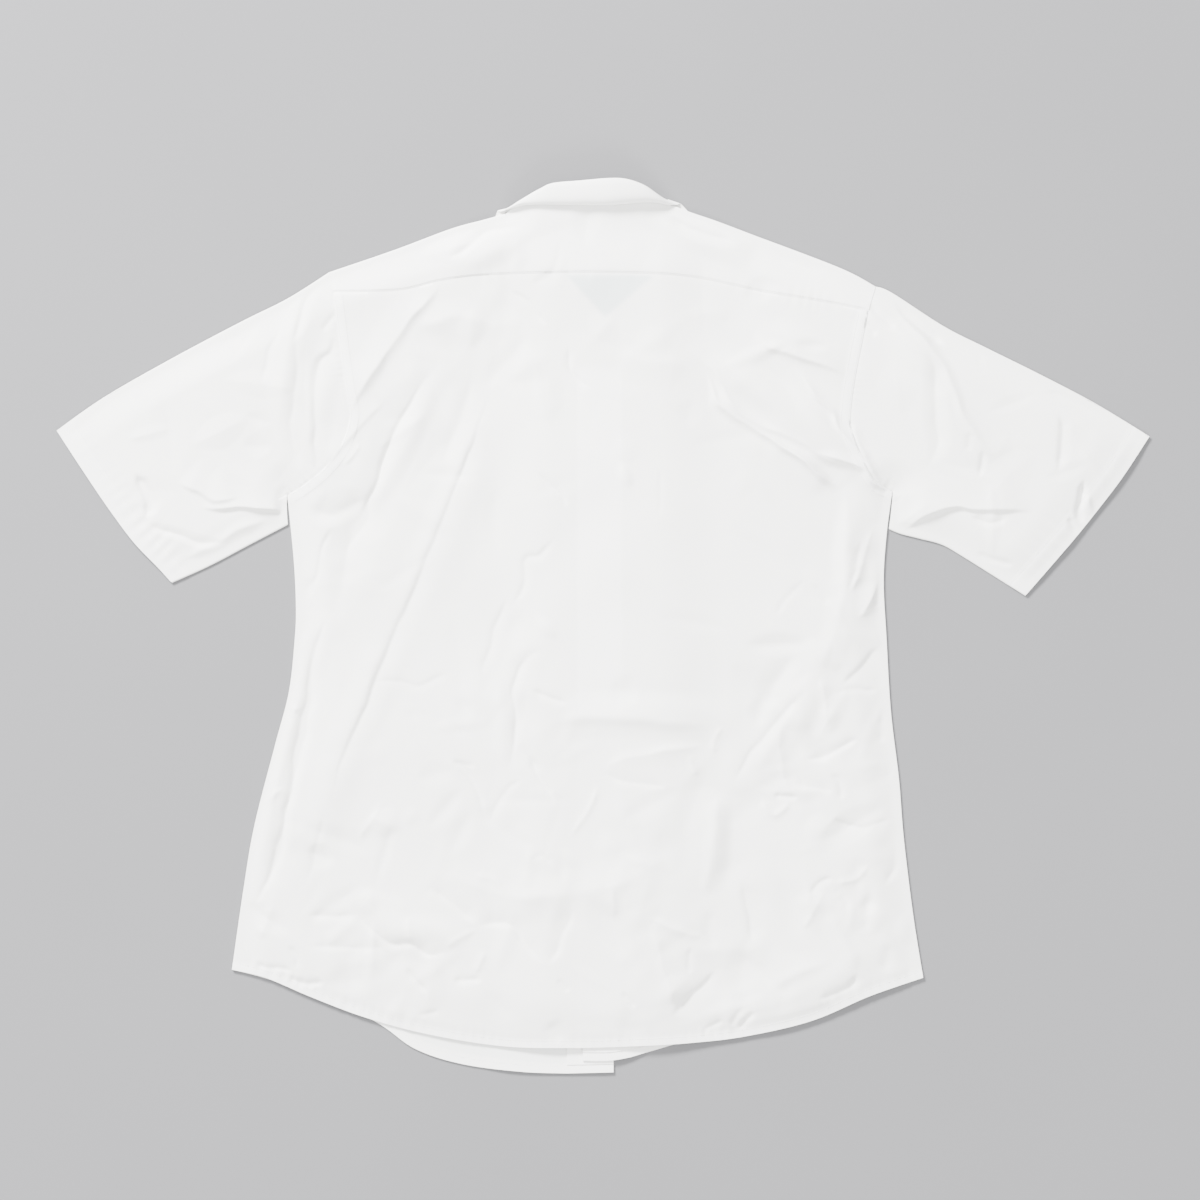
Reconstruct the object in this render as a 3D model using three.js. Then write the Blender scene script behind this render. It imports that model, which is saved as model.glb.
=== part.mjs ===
// A man's short-sleeve shirt, buttoned up and laid flat on its front, as the pieces of cloth that it is sewn
// from. Millimetres, +Z up. It lies on z = 0 with its back up and its collar towards +Y, and X = 0 and Y = 0
// are the middle of its outline. Left and right are the wearer's, which are also the viewer's from above.
//
// Layers from the floor up: the two leaves of the collar, the left front, the right front lapped over it, and
// the back with its yoke. Each sleeve is one tube pressed flat. Each layer is a wall of its own, clear of the
// next one.
import * as THREE from "three";

const { Vector2, Vector3 } = THREE;

// ---------------------------------------------------------------- sizes that drive the rest
const WALL = 1; // one layer of cloth
const GAP = 0.3; // between layers, and across a seam
const PITCH = WALL + GAP; // from one layer up to the next
const EDGE_REACH = (2 * WALL + GAP) / 2; // how far in a folded edge has turned to lie flat
const INNER_FOLD = WALL - 0.05; // depth of cloth at the very edge of a fold

const YOKE_CELLS = { shoulder: 8, neck: 10 };
const ROWS = { yoke: 3, straightArmhole: 3, scye: 4, frontSide: 9, backSide: 13 };
const SLEEVE_CELLS = { length: 8, pit: 2 };
const CUFF_EASE = 1.6; // above 1, the sleeve's lines fan out less towards the underarm end of its cuff
const FRONT_CELLS = { neckline: 5, facing: 3 };

const FACING = { left: { from: -33.7, to: 9.7 }, right: { from: 25.1, to: -19 } }; // X of inner and free edge
const HEM_BAND = 8; // the facings stop this far above the hem

const BUTTON = { radius: 5.5, thick: 2.4, rim: 0.5, sides: 14, x: -4.8, top: 274, first: 214, pitch: 89, count: 6 };
const BUTTON_LIFT = BUTTON.thick + GAP; // how far the buttons keep the closing off the floor
const CLOSING = { top: 330, fadeAbove: 50, lastButton: -250, hem: -310, later: 45 }; // Y where that lift fades out
const CLOSING_SLOPE = { left: 32, right: 35, clear: 3 }; // how wide in X each front's slope up to the closing is
const BRIDGE = { left: { foot: -108, top: -44 }, right: { foot: 112, top: 50 } }; // X where the back slopes up to it
const EDGE_CELLS = { shoulder: 4, side: 8, sleeveTop: 4, pit: 1, underarm: 3, cuff: 3, hem: 12 };
const FOLD_FADE = 14; // the folds fade out this near to a closed edge

const AIR = { rise: 3.6, reach: 75, openEdge: 0.45, openReach: 45 }; // loose cloth stands off between its edges
const NECK_RISE = { rise: 7, x: -10, y: 402, across: 62, down: 42 }; // the standing collar lifts the yoke

// ---------------------------------------------------------------- tables
const table = (columns, lines) => {
  const names = columns.split(" ");
  return lines.map((line) => Object.fromEntries(names.map((name, k) => [name, line[k]])));
};

const SHOULDER = {
  left: table("x y", [[-254, 330], [-194, 350.5], [-142, 370], [-111, 378.5], [-91, 384]]),
  right: table("x y", [[64, 392.5], [80, 386], [105, 377.5], [137, 365.5], [220, 334], [253.5, 316.5]]),
};
const BACK_NECK = table("x y", [
  [-91, 384], [-85, 388.5], [-74, 394.8], [-58, 398.8], [-35, 400.5], [-5, 401.5], [28, 401], [48, 398.5], [64, 392.5],
]);
const YOKE_SEAM = table("x y", [
  [-251, 311], [-190, 312.5], [-148, 322], [-100, 327], [0, 328.5], [80, 325], [145, 312], [215, 300], [246.5, 293.5],
]);
const FRONT_YOKE_SEAM = {
  left: table("x y", [[-250.4, 305.5], [-194, 327], [-142, 346.5], [-111, 355], [-88, 361]]),
  right: table("x y", [[84, 362], [105, 353.5], [137, 341], [220, 310], [246.3, 292.5]]),
};
const NECKLINE = {
  left: table("x y", [[-88, 361], [-77, 338], [-56, 310], [-33.7, 287]]),
  right: table("x y", [[84, 362], [83, 343], [68, 314], [48, 292], [25.1, 275]]),
};
const CENTRE_NECK = {
  left: table("x y", [[-33.7, 287], [-14, 270], [9.7, 262]]),
  right: table("x y", [[25.1, 275], [6, 265], [-19, 261]]),
};
const STRAIGHT_ARMHOLE = {
  left: table("x y", [[-251, 311], [-245, 262], [-239, 220], [-235.5, 195]]),
  right: table("x y", [[246.5, 293.5], [240, 262], [233, 225], [229.7, 194.5]]),
};
const SCYE = {
  left: table("x y", [[-235.5, 195], [-244, 168], [-259, 148], [-279, 131.5], [-293.5, 123]]),
  right: table("x y", [[229.7, 194.5], [232, 180], [242, 154.5], [253, 136], [269, 126.5]]),
};
const SIDE = {
  left: table("x y", [
    [-293.5, 123], [-287.5, 62], [-285.5, 20], [-286.5, -10], [-292, -60], [-305, -110], [-324, -184], [-334, -242],
    [-345, -318.5],
  ]),
  right: table("x y", [
    [269, 126.5], [263.8, 88.5], [260.8, 43], [263.5, -11], [267.5, -78], [275, -141], [279.5, -196], [288.3, -268],
    [297.6, -326],
  ]),
};
const BACK_HEM = table("x y", [
  [-345, -318.5], [-313.5, -326], [-271, -344], [-222, -362.5], [-165, -378], [-94, -389.5], [-30, -391], [27, -389.5],
  [81, -386.5], [132, -380.5], [194, -366], [248, -343], [297.6, -326],
]);
const FRONT_HEM = {
  left: table("x y", [
    [-345, -318.5], [-300, -331], [-217, -364], [-175, -392], [-130, -406.5], [-75, -413.5], [-33.7, -415],
  ]),
  right: table("x y", [[297.6, -326], [248, -341], [194, -364], [132, -378], [81, -384.5], [46, -394], [25.1, -400]]),
};
const CENTRE_HEM = {
  left: table("x y", [[-33.7, -415], [9.7, -414]]),
  right: table("x y", [[25.1, -400], [6, -403], [-19, -403]]),
};
const SLEEVE = {
  left: {
    top: table("x y", [[-254, 330], [-293, 305.5], [-337, 283.5], [-403, 248.5], [-464, 213.5], [-508, 182.7]]),
    cuff: table("x y", [[-508, 182.7], [-480, 140], [-457.5, 107], [-436, 78.5], [-414, 55.5], [-400.8, 41]]),
    pit: table("x y", [[-294.4, 122.6], [-294, 109], [-293.2, 95]]),
    underarm: table("x y", [[-293.2, 95], [-330.5, 75.5], [-365.5, 57], [-400.8, 41]]),
  },
  right: {
    top: table("x y", [
      [253.5, 316.5], [269, 310.5], [317, 279.5], [356.5, 259.5], [407, 234.5], [457.5, 208], [508, 177.3],
    ]),
    cuff: table("x y", [[508, 177.3], [483.5, 140], [462, 111.5], [442, 86.5], [422, 63], [392.5, 29]]),
    pit: table("x y", [[270, 126], [268, 108], [266, 91]]),
    underarm: table("x y", [[266, 91], [277, 86.5], [295, 82], [315, 76.5], [334.5, 65.5], [392.5, 29]]),
  },
};

// The largest folds of the upper layer. Each runs from (x0, y0) to (x1, y1), bows to its left by so much, is so wide
// on its left and on its right, and rises by so much. A negative rise is a trough.
const FOLDS = table("x0 y0 x1 y1 bow left right rise", [
  [-150, 256, -226, 102, 6, 14, 30, 7], // from the shoulder blade to the left armhole
  [-95, 232, -190, 0, 4, 34, 20, 5], // long fold down the left of the back
  [-184, 10, -272, -221, -8, 24, 20, 4],
  [-254, 14, -322, -262, -14, 16, 26, 6], // beside the left side seam
  [-70, 376, -155, 334, 8, 16, 26, 5], // left of the yoke
  [46, 390, 140, 347, -6, 22, 16, 5], // right of the yoke
  [80, 262, 210, 134, 14, 20, 16, 6], // from the right blade to the underarm
  [96, 250, 259, 128, 12, 14, 22, 6],
  [176, 242, 255, 130, -10, 16, 14, 4],
  [141, 273, 228, 233, 8, 16, 18, 4],
  [-262, 322, -279, 152, -22, 22, 18, 6], // head of the left sleeve
  [-250, 262, -266, 145, -6, 14, 14, 4],
  [280, 294, 365, 155, -16, 22, 26, 6], // across the right sleeve
  [-398, 134, -296, 106, -16, 46, 10, 8], // under the left arm
  [276, 92, 362, 100, 16, 46, 10, 8], // under the right arm
  [-50, -82, 128, -88, 6, 18, 22, 5], // across the waist
  [216, -12, 108, -156, 10, 22, 26, 7], // right of the waist, running down to the middle
  [100, -150, 98, -246, 5, 14, 26, 6],
  [-236, -254, -124, -288, -12, 18, 24, 6], // low on the left
  [-56, 2, -84, -138, -14, 20, 16, 4],
  [98, -366, 250, -306, -10, 14, 30, 5], // above the hem on the right
]);

// The collar's own lines, from the left front round the back to the right front: its fold, and the free edge of
// the fall. The fall lies on the floor in front, and turns up round the shoulders to stand at the back.
const COLLAR = table("fx fy fz ex ey ez", [
  [-7, 292, 0.5, -44, 238, 0.5],
  [-20, 309, 0.5, -66, 270, 0.5],
  [-36, 328, 0.5, -84, 300, 0.5],
  [-60, 354, 0.5, -100, 327, 0.5],
  [-78, 374, 0.5, -106, 354, 0.5],
  [-89, 387.5, 0.5, -99, 384.5, 0.5],
  [-86, 389, 7, -98, 385.5, 5],
  [-81, 392.5, 12.5, -92, 386.5, 7],
  [-70, 398.5, 17, -78, 391.5, 10],
  [-56, 407, 22, -62, 392.5, 12.6],
  [-30, 412, 25.5, -34, 392, 14],
  [4, 414.8, 27, 0, 391.5, 14.6],
  [26, 414, 26, 26, 393.5, 14],
  [40, 409, 22.5, 42, 394, 12.6],
  [48, 404, 18, 55, 393, 10.4],
  [54, 400, 13, 65, 391.5, 8],
  [59, 397, 7, 74, 391, 5],
  [61.5, 395.5, 0.5, 79, 390.5, 0.5],
  [69, 374, 0.5, 103, 354, 0.5],
  [63, 352, 0.5, 100, 327, 0.5],
  [50, 329, 0.5, 88, 298, 0.5],
  [30, 307, 0.5, 72, 268, 0.5],
  [10, 292, 0.5, 46, 240, 0.5],
]);
const COLLAR_SIDES = { left: 5, right: 17 }; // the rows where it turns up round the shoulders
const STAND_LAP = { left: { x: 9.7, y: 281 }, right: { x: -19, y: 280 } }; // top corners of its two lapped ends
const STAND_BELOW = 2.6; // the stand's top edge lies this far under the fold
const STAND_CLEAR = 1.8; // its foot is this far from the edges that it is sewn to, and its top half as far
const STAND_ENDS = 0.07; // share of the neck that each of its turns round the shoulders takes
const STAND_CELLS = 2;
const FALL_CELLS = 3;
const FALL_BULGE = 3; // how far the standing part of the fall rounds out between its fold and its edge
const COLLAR_RISE = 30; // height at which that bulge is full
const COLLAR_CLEAR = { margin: 28, reach: 40 }; // the fronts lie over the leaves, and settle beyond them

// ---------------------------------------------------------------- lines in plan
const even = (cells) => Array.from({ length: cells + 1 }, (_, k) => k / cells);
const plan = ({ x, y }) => new Vector2(x, y);
const smooth = (t) => THREE.MathUtils.smoothstep(t, 0, 1);
const sides = ["left", "right"];
const outward = { left: -1, right: 1 };

// Points of a smooth line through a table's rows, at the given shares of its length.
function along(rows, shares) {
  const line = new THREE.SplineCurve(rows.map(plan));
  return shares.map((share) => line.getPointAt(share));
}

// Lines joined end to end, each as [rows, cells]. The corners between them are kept.
function chain(...parts) {
  return parts.flatMap(([rows, cells], k) => along(rows, even(cells)).slice(k ? 1 : 0));
}

// Shares of a line's length at each of its points.
function sharesOf(points) {
  const lengths = [0];
  points.slice(1).forEach((point, k) => lengths.push(lengths[k] + point.distanceTo(points[k])));
  return lengths.map((length) => length / lengths.at(-1));
}

// The same line, moved sideways in plan to the left of its own direction.
function movedLeft(points, distance) {
  return points.map((point, k) => {
    const before = points[Math.max(k - 1, 0)];
    const after = points[Math.min(k + 1, points.length - 1)];
    const direction = after.clone().sub(before).normalize();
    return new Vector2(point.x - distance * direction.y, point.y + distance * direction.x);
  });
}

// A Coons patch: rows of points between four border lines.
function patch(top, bottom, left, right) {
  const [cornerA, cornerB] = [left[0], right[0]];
  const [cornerC, cornerD] = [left.at(-1), right.at(-1)];
  const u = sharesOf(top);
  const v = sharesOf(left).map((share, k) => (share + sharesOf(right)[k]) / 2);
  return v.map((down, j) =>
    u.map((across, i) => {
      if (i === 0) return left[j].clone();
      if (i === u.length - 1) return right[j].clone();
      if (j === 0) return top[i].clone();
      if (j === v.length - 1) return bottom[i].clone();
      const ruled = top[i].clone().lerp(bottom[i], down).add(left[j].clone().lerp(right[j], across));
      return ruled.sub(cornerA.clone().lerp(cornerB, across).lerp(cornerC.clone().lerp(cornerD, across), down));
    }),
  );
}

// ---------------------------------------------------------------- heights
// Distance in plan from a point to a chain of segments.
function distanceTo(points, x, y) {
  let nearest = Infinity;
  for (let k = 1; k < points.length; k += 1) {
    const a = points[k - 1];
    const b = points[k];
    const span = (b.x - a.x) ** 2 + (b.y - a.y) ** 2;
    const share = THREE.MathUtils.clamp(((x - a.x) * (b.x - a.x) + (y - a.y) * (b.y - a.y)) / span, 0, 1);
    nearest = Math.min(nearest, Math.hypot(x - a.x - share * (b.x - a.x), y - a.y - share * (b.y - a.y)));
  }
  return nearest;
}

function insideOf(points, x, y) {
  let inside = false;
  points.forEach((a, k) => {
    const b = points.at(k - 1);
    if (a.y > y !== b.y > y && x < a.x + ((b.x - a.x) * (y - a.y)) / (b.y - a.y)) inside = !inside;
  });
  return inside;
}

// The ground each leaf of the collar covers, from its fold to its free edge.
const leafRows = { left: COLLAR.slice(0, COLLAR_SIDES.left + 1), right: COLLAR.slice(COLLAR_SIDES.right) };
const leafOutline = Object.fromEntries(
  sides.map((side) => {
    const rows = leafRows[side];
    const folded = rows.map((row) => new Vector2(row.fx, row.fy));
    const free = rows.map((row) => new Vector2(row.ex, row.ey)).reverse();
    return [side, [...folded, ...free]];
  }),
);

// How far the cloth above a leaf of the collar is lifted.
function collarLift(x, y) {
  const outline = leafOutline[x < BUTTON.x ? "left" : "right"];
  const away = insideOf(outline, x, y) ? 0 : distanceTo([...outline, outline[0]], x, y);
  return PITCH * (1 - smooth((away - COLLAR_CLEAR.margin) / COLLAR_CLEAR.reach));
}

// How far the buttons lift a layer at y. Each layer further up comes down a little later towards the hem.
function buttonLift(y, layer) {
  const past = y + layer * CLOSING.later - CLOSING.hem;
  return BUTTON_LIFT * smooth(past / (CLOSING.lastButton - CLOSING.hem));
}

const ramp = (x, low, high) => smooth((x - low) / (high - low));

// Underside of each front. The left one rises over the buttons, and the right one over the left one's closing.
const leftClosing = (x) => ramp(x, FACING.left.from - CLOSING_SLOPE.left, FACING.left.from);
const rightClosing = (x) => {
  const high = FACING.left.to + CLOSING_SLOPE.clear;
  return ramp(-x, -high - CLOSING_SLOPE.right, -high);
};
const frontUnder = {
  left: (x, y) => Math.max(collarLift(x, y), buttonLift(y, 0) * leftClosing(x)),
  right: (x, y) => Math.max(collarLift(x, y), (buttonLift(y, 1) + 2 * PITCH) * rightClosing(x)),
};

// Top of all that lies under the back. It is drawn wide, because the back bridges the closing.
function groundTop(x, y) {
  const across = ramp(x, BRIDGE.left.foot, BRIDGE.left.top) * ramp(-x, -BRIDGE.right.foot, -BRIDGE.right.top);
  const closing = (buttonLift(y, 2) + 3 * PITCH) * across;
  const faded = closing * (1 - smooth((y - CLOSING.top) / CLOSING.fadeAbove));
  return WALL + Math.max(collarLift(x, y), faded);
}

const closedEdges = [];
const openEdges = [];
sides.forEach((side) => {
  const { top, cuff, pit, underarm } = SLEEVE[side];
  closedEdges.push(along(SHOULDER[side], even(EDGE_CELLS.shoulder)), along(SIDE[side], even(EDGE_CELLS.side)));
  closedEdges.push(along(top, even(EDGE_CELLS.sleeveTop)));
  closedEdges.push(chain([pit, EDGE_CELLS.pit], [underarm, EDGE_CELLS.underarm]));
  openEdges.push(along(cuff, even(EDGE_CELLS.cuff)));
});
openEdges.push(along(BACK_HEM, even(EDGE_CELLS.hem)));

const nearestOf = (edges, x, y) => Math.min(...edges.map((points) => distanceTo(points, x, y)));

function foldRise({ x0, y0, x1, y1, bow, left, right, rise }, x, y) {
  const [dx, dy] = [x1 - x0, y1 - y0];
  const length = Math.hypot(dx, dy);
  const share = ((x - x0) * dx + (y - y0) * dy) / length ** 2;
  if (share <= 0 || share >= 1) return 0;
  const aside = ((y - y0) * dx - (x - x0) * dy) / length - 4 * bow * share * (1 - share);
  const width = aside > 0 ? left : right;
  if (Math.abs(aside) >= width) return 0;
  return rise * Math.cos((Math.PI * aside) / (2 * width)) ** 2 * Math.sqrt(Math.sin(Math.PI * share));
}

// Underside of the upper layer: the back, the yoke and the upper half of each sleeve.
function upperUnder(x, y) {
  const inFromClosed = nearestOf(closedEdges, x, y);
  const inFromOpen = nearestOf(openEdges, x, y);
  const open = AIR.openEdge + (1 - AIR.openEdge) * smooth(inFromOpen / AIR.openReach);
  const held = smooth((inFromClosed - EDGE_REACH) / AIR.reach);
  const folds = FOLDS.reduce((sum, fold) => sum + foldRise(fold, x, y), 0);
  const loose = AIR.rise * open * held + folds * smooth((inFromClosed - EDGE_REACH) / FOLD_FADE);
  const off = [(x - NECK_RISE.x) / NECK_RISE.across, (y - NECK_RISE.y) / NECK_RISE.down];
  const neck = NECK_RISE.rise * Math.exp(-(off[0] ** 2) - off[1] ** 2);
  return groundTop(x, y) + GAP + Math.max(loose, 0) + neck;
}

// ---------------------------------------------------------------- walls
// One closed wall from rows of { outer, inner } points. A ring joins each row's end to its start.
function wall(rows, { ring = false, has = () => true } = {}) {
  const across = rows[0].length;
  const positions = [];
  rows.flat().forEach(({ outer, inner }) => positions.push(...outer.toArray(), ...inner.toArray()));
  const outerAt = (j, i) => 2 * (j * across + (i % across));
  const faces = [];
  const rim = new Map();
  for (let j = 0; j < rows.length - 1; j += 1) {
    for (let i = 0; i < across - (ring ? 0 : 1); i += 1) {
      if (!has(j, i)) continue;
      const loop = [outerAt(j, i), outerAt(j + 1, i), outerAt(j + 1, i + 1), outerAt(j, i + 1)];
      const [a, b, c, d] = loop;
      faces.push([a, b, c], [a, c, d], [a + 1, c + 1, b + 1], [a + 1, d + 1, c + 1]);
      loop.forEach((from, k) => {
        const to = loop[(k + 1) % 4];
        if (!rim.delete(`${to} ${from}`)) rim.set(`${from} ${to}`, [from, to]);
      });
    }
  }
  rim.forEach(([from, to]) => faces.push([from, from + 1, to + 1], [from, to + 1, to]));
  return closedGeometry(positions, faces);
}

// Signed volume tells which way the faces point, and they are turned to point out.
function closedGeometry(positions, faces) {
  const at = (k) => new Vector3().fromArray(positions, 3 * k);
  const volume = faces.reduce((sum, [a, b, c]) => sum + at(a).dot(at(b).cross(at(c))), 0);
  const turned = volume < 0 ? faces.map(([a, b, c]) => [a, c, b]) : faces;
  const loose = new THREE.BufferGeometry();
  loose.setAttribute("position", new THREE.Float32BufferAttribute(positions, 3));
  loose.setIndex(turned.flat());
  return onlyUsed(loose);
}

// Drops the points that no face uses.
function onlyUsed(geometry) {
  const index = [...geometry.index.array];
  const source = geometry.getAttribute("position");
  const used = [...new Set(index)];
  const place = new Map(used.map((old, k) => [old, k]));
  const kept = used.flatMap((old) => [source.getX(old), source.getY(old), source.getZ(old)]);
  const trimmed = new THREE.BufferGeometry();
  trimmed.setAttribute("position", new THREE.Float32BufferAttribute(kept, 3));
  trimmed.setIndex(index.map((old) => place.get(old)));
  trimmed.computeVertexNormals();
  return trimmed;
}

const lifted = ({ x, y }, z) => new Vector3(x, y, z);
const upper = (point, under = upperUnder(point.x, point.y)) => ({
  outer: lifted(point, under + WALL),
  inner: lifted(point, under),
});
const lower = (point, under) => ({ outer: lifted(point, under), inner: lifted(point, under + WALL) });

// The turn of a folded edge: half way up, with the cloth doubled back on itself.
function turn(edge, inset, under, over) {
  const middle = (under + over + WALL) / 2;
  const inner = edge.clone().lerp(inset, INNER_FOLD / EDGE_REACH);
  return { outer: lifted(edge, middle), inner: lifted(inner, (under + WALL + over) / 2) };
}

// ---------------------------------------------------------------- yoke
const neckCells = YOKE_CELLS.neck;
const shoulderCells = YOKE_CELLS.shoulder;
const shoulderLine = Object.fromEntries(sides.map((side) => [side, along(SHOULDER[side], even(shoulderCells))]));
const neckEdge = along(BACK_NECK, even(neckCells));
const yokeTop = [...shoulderLine.left, ...neckEdge.slice(1, -1), ...shoulderLine.right];
const seamShares = sharesOf(yokeTop);
const yokeSeamLine = along(YOKE_SEAM, seamShares);

// In from the shoulder edge by the reach of its fold, along each column.
function yokeColumn(i) {
  const edge = yokeTop[i];
  const seam = yokeSeamLine[i].clone().add(new Vector2(0, GAP / 2));
  const onShoulder = i <= shoulderCells || i >= shoulderCells + neckCells;
  const start = edge.clone().lerp(seam, (onShoulder ? EDGE_REACH : GAP / 2) / edge.distanceTo(seam));
  return { edge, onShoulder, tops: even(ROWS.yoke).map((share) => start.clone().lerp(seam, share)) };
}

const yokeColumns = yokeTop.map((_, i) => yokeColumn(i));
const frontSeamLine = Object.fromEntries(
  sides.map((side) => [side, along(FRONT_YOKE_SEAM[side], sharesOf(shoulderLine[side]))]),
);

function underStrip(i, column) {
  const left = i <= shoulderCells;
  const line = left ? frontSeamLine.left : frontSeamLine.right;
  const seam = line[left ? i : i - shoulderCells - neckCells].clone().add(new Vector2(0, GAP / 2));
  const near = column.edge.clone().lerp(seam, EDGE_REACH / column.edge.distanceTo(seam));
  const under = (point) => collarLift(point.x, point.y);
  const nearUnder = under(near);
  const fold = turn(column.edge, column.tops[0], nearUnder, upperUnder(column.tops[0].x, column.tops[0].y));
  return [lower(seam, under(seam)), lower(near, nearUnder), fold];
}

function yoke() {
  const columns = yokeColumns.map((column, i) => {
    const tops = column.tops.map((point) => upper(point));
    const unders = column.onShoulder ? underStrip(i, column) : [tops[0], tops[0], tops[0]];
    return [...unders, ...tops];
  });
  const rows = columns[0].map((_, j) => columns.map((column) => column[j]));
  const has = (j, i) => j >= 3 || i < shoulderCells || i >= shoulderCells + neckCells;
  return wall(rows, { has });
}

// ---------------------------------------------------------------- back
const armhole = Object.fromEntries(
  sides.map((side) => [side, chain([STRAIGHT_ARMHOLE[side], ROWS.straightArmhole], [SCYE[side], ROWS.scye])]),
);
const inward = (points, side, distance) => movedLeft(points, -outward[side] * distance);

// The armhole, drawn in from the seam line. A front's is cut deeper, by scoop at the middle.
function armholeEdge(side, drawnIn, scoop = 0) {
  const shares = sharesOf(armhole[side]);
  const near = inward(armhole[side], side, drawnIn);
  const far = inward(armhole[side], side, drawnIn + scoop);
  return near.map((point, k) => point.lerp(far[k], Math.sin(Math.PI * shares[k])));
}

// The armhole, and the side seam below it.
const bodyEdge = (side, sideCells, scoop) => [
  ...armholeEdge(side, GAP / 2, scoop),
  ...along(SIDE[side], even(sideCells)).slice(1),
];

function back() {
  const top = yokeSeamLine.map((point) => point.clone().sub(new Vector2(0, GAP / 2)));
  const [left, right] = sides.map((side) => bodyEdge(side, ROWS.backSide));
  left[0] = top[0].clone().setX(left[0].x);
  right[0] = top.at(-1).clone().setX(right[0].x);
  const bottom = along(BACK_HEM, sharesOf(top));
  return wall(patch(top, bottom, left, right).map((row) => row.map((point) => upper(point))));
}

// ---------------------------------------------------------------- fronts and their facings
const FRONT_SCOOP = 6; // the front armhole is cut this much deeper

// The front as rows of points in plan: from the side seam in to the facing, then across the facing.
function frontRows(side) {
  const edge = bodyEdge(side, ROWS.frontSide, FRONT_SCOOP);
  const shoulderSeam = frontSeamLine[side].map((point) => point.clone().sub(new Vector2(0, GAP / 2)));
  if (side === "right") shoulderSeam.reverse();
  const neckline = along(NECKLINE[side], even(FRONT_CELLS.neckline));
  const top = [...shoulderSeam, ...neckline.slice(1)];
  edge[0] = top[0].clone();
  const foot = plan(CENTRE_HEM[side][0]);
  const facingLine = sharesOf(edge).map((share) => top.at(-1).clone().lerp(foot, share));
  const bottom = along(FRONT_HEM[side], sharesOf(top));
  const field = patch(top, bottom, edge, facingLine);
  const strip = even(FRONT_CELLS.facing);
  const facingTop = along(CENTRE_NECK[side], strip);
  const facingFoot = along(CENTRE_HEM[side], strip);
  const shares = sharesOf(facingLine);
  return field.map((row, j) => [
    ...row,
    ...strip.slice(1).map((_, k) => facingTop[k + 1].clone().lerp(facingFoot[k + 1], shares[j])),
  ]);
}

const fronts = Object.fromEntries(sides.map((side) => [side, frontRows(side)]));

function front(side) {
  const rows = fronts[side].map((row) => row.map((point) => lower(point, frontUnder[side](point.x, point.y))));
  return wall(rows);
}

// A facing lies on the inside of its front, so it is made from the front's own points, one layer up.
function facing(side) {
  const first = fronts[side][0].length - 1 - FRONT_CELLS.facing;
  const rows = fronts[side].map((row, j) =>
    row.slice(first).map((point) => {
      const under = frontUnder[side](point.x, point.y) + PITCH;
      const raised = j === fronts[side].length - 1 ? point.clone().add(new Vector2(0, HEM_BAND)) : point;
      return lower(raised, under);
    }),
  );
  return wall(rows);
}

// ---------------------------------------------------------------- sleeves
// Rings round the flattened tube, from the armhole to the cuff. Round each ring: the top edge's fold, the upper
// layer, the underarm's fold, and the lower layer on the way back.
function sleeve(side) {
  const { top, cuff, pit, underarm } = SLEEVE[side];
  const acrossSeam = new Vector2(outward[side] * GAP, 0);
  const column = yokeColumns[side === "left" ? 0 : yokeColumns.length - 1];
  const yokeEnd = column.tops.map((point) => point.clone().add(acrossSeam));
  const pitLine = along(pit, even(SLEEVE_CELLS.pit)).slice(1);
  const frontEnd = frontSeamLine[side].at(side === "left" ? 0 : -1).clone().add(acrossSeam);
  const upperStart = [...yokeEnd, ...armholeEdge(side, -GAP / 2).slice(1), ...pitLine];
  const lowerStart = [yokeEnd[0], frontEnd, ...armholeEdge(side, -GAP / 2, FRONT_SCOOP).slice(1), ...pitLine];

  const topEdge = along(top, even(SLEEVE_CELLS.length));
  topEdge[0].add(acrossSeam);
  const underEdge = along(underarm, even(SLEEVE_CELLS.length));
  const topInset = inward(topEdge, side, EDGE_REACH);
  const underInset = inward(underEdge, side, -EDGE_REACH);
  topInset[0] = upperStart[0];
  underInset[0] = upperStart.at(-1).clone().add(new Vector2(0, EDGE_REACH));
  upperStart[upperStart.length - 1] = underInset[0];
  lowerStart[lowerStart.length - 1] = underInset[0];

  const layer = (start) => {
    const cuffLine = along(cuff, sharesOf(start).map((share) => share ** CUFF_EASE));
    cuffLine[0] = topInset.at(-1);
    cuffLine[cuffLine.length - 1] = underInset.at(-1);
    return patch(start, cuffLine, topInset, underInset);
  };
  const lowerRows = layer(lowerStart);
  const rings = layer(upperStart).map((over, j) => {
    const uppers = over.map((point) => upper(point));
    const lowers = lowerRows[j].map((point) => lower(point, 0));
    const shoulderTurn = turn(topEdge[j], topInset[j], 0, uppers[0].inner.z);
    const pitTurn = turn(underEdge[j], underInset[j], 0, uppers.at(-1).inner.z);
    return [shoulderTurn, ...uppers, pitTurn, ...lowers.reverse()];
  });
  return wall(rings, { ring: true });
}

// ---------------------------------------------------------------- collar
// Thickens a sheet of points by half a wall to each side of it.
function thickened(rows) {
  const point = (j, i) =>
    rows[THREE.MathUtils.clamp(j, 0, rows.length - 1)][THREE.MathUtils.clamp(i, 0, rows[0].length - 1)];
  return rows.map((row, j) =>
    row.map((middle, i) => {
      const down = point(j + 1, i).clone().sub(point(j - 1, i));
      const across = point(j, i + 1).clone().sub(point(j, i - 1));
      const normal = across.cross(down).normalize().multiplyScalar(WALL / 2);
      return { outer: middle.clone().add(normal), inner: middle.clone().sub(normal) };
    }),
  );
}

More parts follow.
